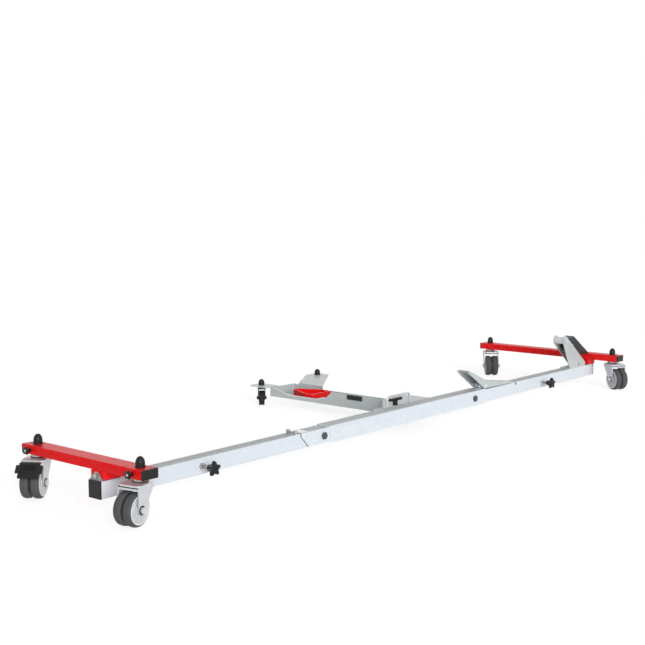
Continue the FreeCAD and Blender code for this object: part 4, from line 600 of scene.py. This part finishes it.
def dress_caps():
    """A thin collar at the foot of each bullet cap."""
    for end in ENDS:
        collars = bmesh.new()
        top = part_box(f"{end}_beam")[1].z
        for spot in SPOTS:
            stem = Vector(joints[f"{end}_{spot}_swivel"]["pos_m"])
            turned(collars, [(COLLAR_INNER, 0.0), (COLLAR, 0.0), (COLLAR, COLLAR_HEIGHT * COLLAR_STEP),
                             (COLLAR - COLLAR_HEIGHT * COLLAR_SLOPE, COLLAR_HEIGHT),
                             (COLLAR_INNER, COLLAR_HEIGHT)],
                   Vector((stem.x, stem.y, top)), UP, RING_STEPS, closed_loop=True)
        mesh_piece(f"{end}_cap_collars", collars, f"{end}_section", "black_plastic")


def dress_welds():
    """Painted beads between each block and its beam, and bare ones along the arm's socket."""
    for end in ENDS:
        beads = bmesh.new()
        block_low, block_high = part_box(f"{end}_block")
        beam_low, beam_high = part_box(f"{end}_beam")
        z = block_high.z
        for y in (block_low.y, block_high.y):
            bead(beads, (beam_low.x + BEAD_INSET, y, z), (beam_high.x - BEAD_INSET, y, z), BEAD_RADIUS)
        for x in (beam_low.x, beam_high.x):
            bead(beads, (x, block_low.y + BEAD_INSET, z), (x, block_high.y - BEAD_INSET, z), BEAD_RADIUS)
        mesh_piece(f"{end}_block_welds", beads, f"{end}_section", "red_paint", sharp=BEAD_SHARP_ANGLE)
    beads = bmesh.new()
    low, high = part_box("arm_socket")
    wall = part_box("centre_sleeve")[1].y
    for z in (low.z, high.z):
        bead(beads, (low.x + BEAD_INSET, wall, z), (high.x - BEAD_INSET, wall, z), BEAD_RADIUS)
    mesh_piece("socket_welds", beads, "centre", "zinc", sharp=BEAD_SHARP_ANGLE)


def dress_pedal():
    """Grip ribs across the brake pedal's slope."""
    stem = Vector(joints["rear_far_swivel"]["pos_m"])
    across = Vector(joints["rear_far_roll"]["axis"]).normalized()
    ahead = across.cross(UP)
    top = Vector((stem.x, stem.y, 0.0)) + ahead * PEDAL_X + UP * PEDAL_TOP
    down = (-ahead * PEDAL_REACH - UP * PEDAL_DROP).normalized()
    out = across.cross(down)
    out = out if out.z > 0 else -out
    ribs = bmesh.new()
    for index in range(PEDAL_RIBS):
        place = top + down * (PEDAL_RIB_FROM + index * PEDAL_RIB_STEP) + out * RIB_SINK
        slab(ribs, place, (across, down, out), (PEDAL_RIB_HALF, RIB_WIDTH, RIB_HEIGHT), PEDAL_RIB_TAPER)
    mesh_piece("pedal_ribs", ribs, "pedal", "black_plastic")


def dress_rail():
    """A small dark screw in the front rail's near side."""
    screw = bmesh.new()
    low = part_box("front_rail")[0]
    spot = at(*RAIL_SCREW_MM)
    head = [(RAIL_SCREW * wide, RAIL_SCREW * rise) for wide, rise in RAIL_SCREW_PROFILE]
    turned(screw, [(RAIL_SCREW, -RIB_SINK), *head], Vector((spot.x, low.y, spot.z)), -ACROSS, SCREW_STEPS)
    mesh_piece("rail_screw", screw, "front_section", "dark_paint")


def dress_joint():
    """A black strip on the slanted edges of the rear hinge as painted shade in the joint's gap, and a bright plate
    on top of it.
    """
    low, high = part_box("rear_hinge_channel")
    top = high.z - JOINT_SHADE_INSET
    edge = [(low.x, top), (low.x, high.z - JOINT_LIP), (low.x + JOINT_LEAN, low.z + JOINT_SHADE_INSET)]
    outline = edge + [(x - JOINT_SHADE_WIDE, z) for x, z in reversed(edge)]
    # The black strip stands for the shade in the joint's gap.
    gap_shade = bmesh.new()
    for y, inward in ((low.y, 1.0), (high.y, -1.0)):
        loft(gap_shade, [[Vector((x, y + inward * deep, z)) for x, z in outline]
                    for deep in (JOINT_SHADE_INSET, JOINT_SHADE_WALL)])
    centre = Vector((low.x - JOINT_SHADE_WIDE / 2, (low.y + high.y) / 2, top - JOINT_SHADE_WALL / 2))
    slab(gap_shade, centre, (ALONG, ACROSS, UP), (JOINT_SHADE_WIDE / 2, (high.y - low.y) / 2 - JOINT_SHADE_WALL, JOINT_SHADE_WALL / 2))
    mesh_piece("joint_gap_shade", gap_shade, "centre", "black_plastic")
    plate = bmesh.new()
    centre = Vector((low.x + PLATE_LONG / 2, (low.y + high.y) / 2, high.z + PLATE_WALL / 2))
    slab(plate, centre, (ALONG, ACROSS, UP),
         (PLATE_LONG / 2, (high.y - low.y) / 2 - PLATE_INSET, PLATE_WALL / 2 + RIB_SINK))
    mesh_piece("hinge_plate", plate, "centre", "zinc")


def dress_stop():
    """A hex bolt on a washer at the foot of each stop cheek."""
    low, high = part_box("stop_bracket")
    bolts = bmesh.new()
    for y, out in ((low.y, -1.0), (high.y, 1.0)):
        foot = Vector((high.x - FOOT_BOLT_IN, y, low.z + FOOT_BOLT_UP))
        face = ACROSS * out
        turned(bolts, [(FOOT_WASHER, -RIB_SINK), (FOOT_WASHER, FOOT_WASHER_WALL)], foot, face,
               FOOT_WASHER_STEPS)
        turned(bolts, [(FOOT_BOLT * wide, FOOT_BOLT * rise) for wide, rise in FOOT_BOLT_PROFILE], foot, face,
               FOOT_BOLT_SIDES)
    mesh_piece("stop_foot_bolts", bolts, "front_section", "zinc", FASTENER_ZINC)


def lip_height(y):
    """Height of the trough's near lip, eased between its stations."""
    for (y_low, z_low), (y_high, z_high) in zip(ARM_LIP_MM, ARM_LIP_MM[1:]):
        if y <= y_high:
            ease = 0.5 - 0.5 * math.cos(math.pi * (y - y_low) / (y_high - y_low))
            return z_low + (z_high - z_low) * ease
    return ARM_LIP_MM[-1][1]


def lip_cutter(curve, wall):
    """A block above the lip's curve, across the arm's near wall."""
    cutter = bmesh.new()
    high = [point + UP * LIP_CLEAR for point in (curve[0], curve[-1])]
    outline = curve + high[::-1]
    loft(cutter, [[Vector((wall + shift, point.y, point.z)) for point in outline]
                  for shift in (-LIP_OUT, ARM_WALL + LIP_OUT)])
    bmesh.ops.recalc_face_normals(cutter, faces=cutter.faces)
    mesh = bpy.data.meshes.new("lip_cutter")
    cutter.to_mesh(mesh)
    cutter.free()
    tool = bpy.data.objects.new("lip_cutter", mesh)
    bpy.context.scene.collection.objects.link(tool)
    return tool


def dipped_arm(tool):
    """A copy of the arm's mesh with the tool cut out of it."""
    shell = bpy.data.objects.new("arm_shell", nodes["side_arm"].data.copy())
    bpy.context.scene.collection.objects.link(shell)
    shell.modifiers.new("weld", "WELD").merge_threshold = WELD_GAP
    dip = shell.modifiers.new("dip", "BOOLEAN")
    dip.object = tool
    dip.solver = "EXACT"
    graph = bpy.context.evaluated_depsgraph_get()
    shaped = bpy.data.meshes.new_from_object(shell.evaluated_get(graph))
    shell.modifiers.clear()
    shell.data = shaped
    return shell


def dress_arm():
    """The pressed arm: its near wall dips beside the pad in a smooth curve, with a rolled hem on the edge."""
    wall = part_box("arm_patch")[1].x
    first, last = ARM_LIP_MM[0][0], ARM_LIP_MM[-1][0]
    spots = [first + (last - first) * step / LIP_STEPS for step in range(LIP_STEPS + 1)]
    curve = [at(0.0, y, lip_height(y)) for y in spots]
    tool = lip_cutter(curve, wall)
    shell = dipped_arm(tool)
    bpy.data.objects.remove(tool)
    soften(shell)
    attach(shell, "centre")
    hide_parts("side_arm")
    hem = bmesh.new()
    angles = [FULL_TURN * k / BEAD_SIDES for k in range(BEAD_SIDES)]
    rings = []
    for point in curve:
        centre = Vector((wall + ARM_WALL / 2, point.y, point.z))
        rings.append([centre + (ALONG * math.cos(angle) + UP * math.sin(angle)) * HEM for angle in angles])
    loft(hem, rings)
    mesh_piece("arm_hem", hem, "centre", "zinc", sharp=BEAD_SHARP_ANGLE)


# Stage

# Suns as the direction towards the light, the strength and the softness in degrees
SUNS = {"key": ((-0.48, -0.84, 0.26), 2.25, 35.0), "back": ((0.55, 0.75, 0.36), 0.35, 50.0)}
SKY_LIGHT, FLOOR_SIZE, FLOOR_DROP = 0.35, 60.0, 0.0004
FLOOR_SHADE, SHOWN_SHADE, FLOOR_CLEAR, SHADOW_REACH, WHITE_REACH = 0.90, 0.40, 0.79, 1.5, 3.0


def build_camera():
    data = bpy.data.cameras.new("camera")
    camera = bpy.data.objects.new("camera", data)
    bpy.context.scene.collection.objects.link(camera)
    data.sensor_fit = "HORIZONTAL"
    data.sensor_width = SENSOR_MM
    data.lens = FOCAL_PX / FRAME_PX * SENSOR_MM
    data.clip_end = CLIP_END
    camera.location = at(*CAMERA_MM)
    camera.rotation_euler = (math.radians(90 - CAMERA_DOWN), 0.0, math.radians(CAMERA_YAW - 90))
    bpy.context.scene.camera = camera


def sun(name, towards_light, strength, softness):
    data = bpy.data.lights.new(name, "SUN")
    data.energy = strength
    data.angle = math.radians(softness)
    light = bpy.data.objects.new(name, data)
    bpy.context.scene.collection.objects.link(light)
    light.rotation_euler = Vector(towards_light).to_track_quat("Z", "Y").to_euler()


def grey(shade):
    return shade, shade, shade, 1.0


def mix_of(tree, factor, first, second):
    """One shader where the factor is 0, and the other where it is 1."""
    return add_node(tree, "ShaderNodeMixShader", {0: factor, 1: first.outputs[0], 2: second.outputs[0]})


def seen_directly(tree):
    """1 for camera, mirror and glass rays, which should meet plain white, and 0 for the rest."""
    path = add_node(tree, "ShaderNodeLightPath")
    seen = path.outputs["Is Camera Ray"]
    for name in ("Is Glossy Ray", "Is Transmission Ray"):
        either = add_node(tree, "ShaderNodeMath", {0: seen, 1: path.outputs[name]}, operation="MAXIMUM")
        seen = either.outputs[0]
    return seen


def build_world():
    world = bpy.data.worlds.new("studio")
    bpy.context.scene.world = world
    world.use_nodes = True
    tree = world.node_tree
    background = tree.nodes["Background"]
    background.inputs["Color"].default_value = grey(1.0)
    strength = add_node(tree, "ShaderNodeMapRange",
                        {"Value": seen_directly(tree), "To Min": SKY_LIGHT, "To Max": 1.0})
    tree.links.new(strength.outputs["Result"], background.inputs["Strength"])


def build_floor():
    """A pale floor that lights the object as a matt floor does and keeps its soft shadow nearby.

    The white world shows through it, and so does a section that is folded down below it.
    """
    bpy.ops.mesh.primitive_plane_add(size=FLOOR_SIZE, location=(0.0, 0.0, -FLOOR_DROP))
    floor = bpy.context.object
    floor.name = "floor"
    look = bpy.data.materials.new("floor")
    look.use_nodes = True
    tree = look.node_tree
    tree.nodes.remove(tree.nodes["Principled BSDF"])
    matt = add_node(tree, "ShaderNodeBsdfDiffuse", {0: grey(FLOOR_SHADE)})
    dim = add_node(tree, "ShaderNodeBsdfDiffuse", {0: grey(SHOWN_SHADE)})
    clear = add_node(tree, "ShaderNodeBsdfTransparent", {0: grey(FLOOR_CLEAR)})
    shown = add_node(tree, "ShaderNodeAddShader", {0: dim.outputs[0], 1: clear.outputs[0]})
    open_air = add_node(tree, "ShaderNodeBsdfTransparent")
    place = add_node(tree, "ShaderNodeTexCoord").outputs["Object"]
    away = add_node(tree, "ShaderNodeVectorMath", {0: place}, operation="LENGTH").outputs["Value"]
    fade = add_node(tree, "ShaderNodeMapRange",
                    {"Value": away, "From Min": SHADOW_REACH, "From Max": WHITE_REACH},
                    interpolation_type="SMOOTHSTEP").outputs["Result"]
    above = mix_of(tree, seen_directly(tree), matt, mix_of(tree, fade, shown, open_air))
    below = add_node(tree, "ShaderNodeNewGeometry").outputs["Backfacing"]
    whole = mix_of(tree, below, above, open_air)
    tree.links.new(whole.outputs[0], tree.nodes["Material Output"].inputs["Surface"])
    floor.data.materials.append(look)


def build_stage():
    build_world()
    build_floor()
    for name, settings in SUNS.items():
        sun(name, *settings)


dress_nodes()
dress_wheels()
dress_knobs()
dress_castors()
dress_caps()
dress_welds()
dress_pedal()
dress_rail()
dress_joint()
dress_stop()
dress_arm()
build_camera()
build_stage()
bpy.context.scene.view_settings.view_transform = "Standard"
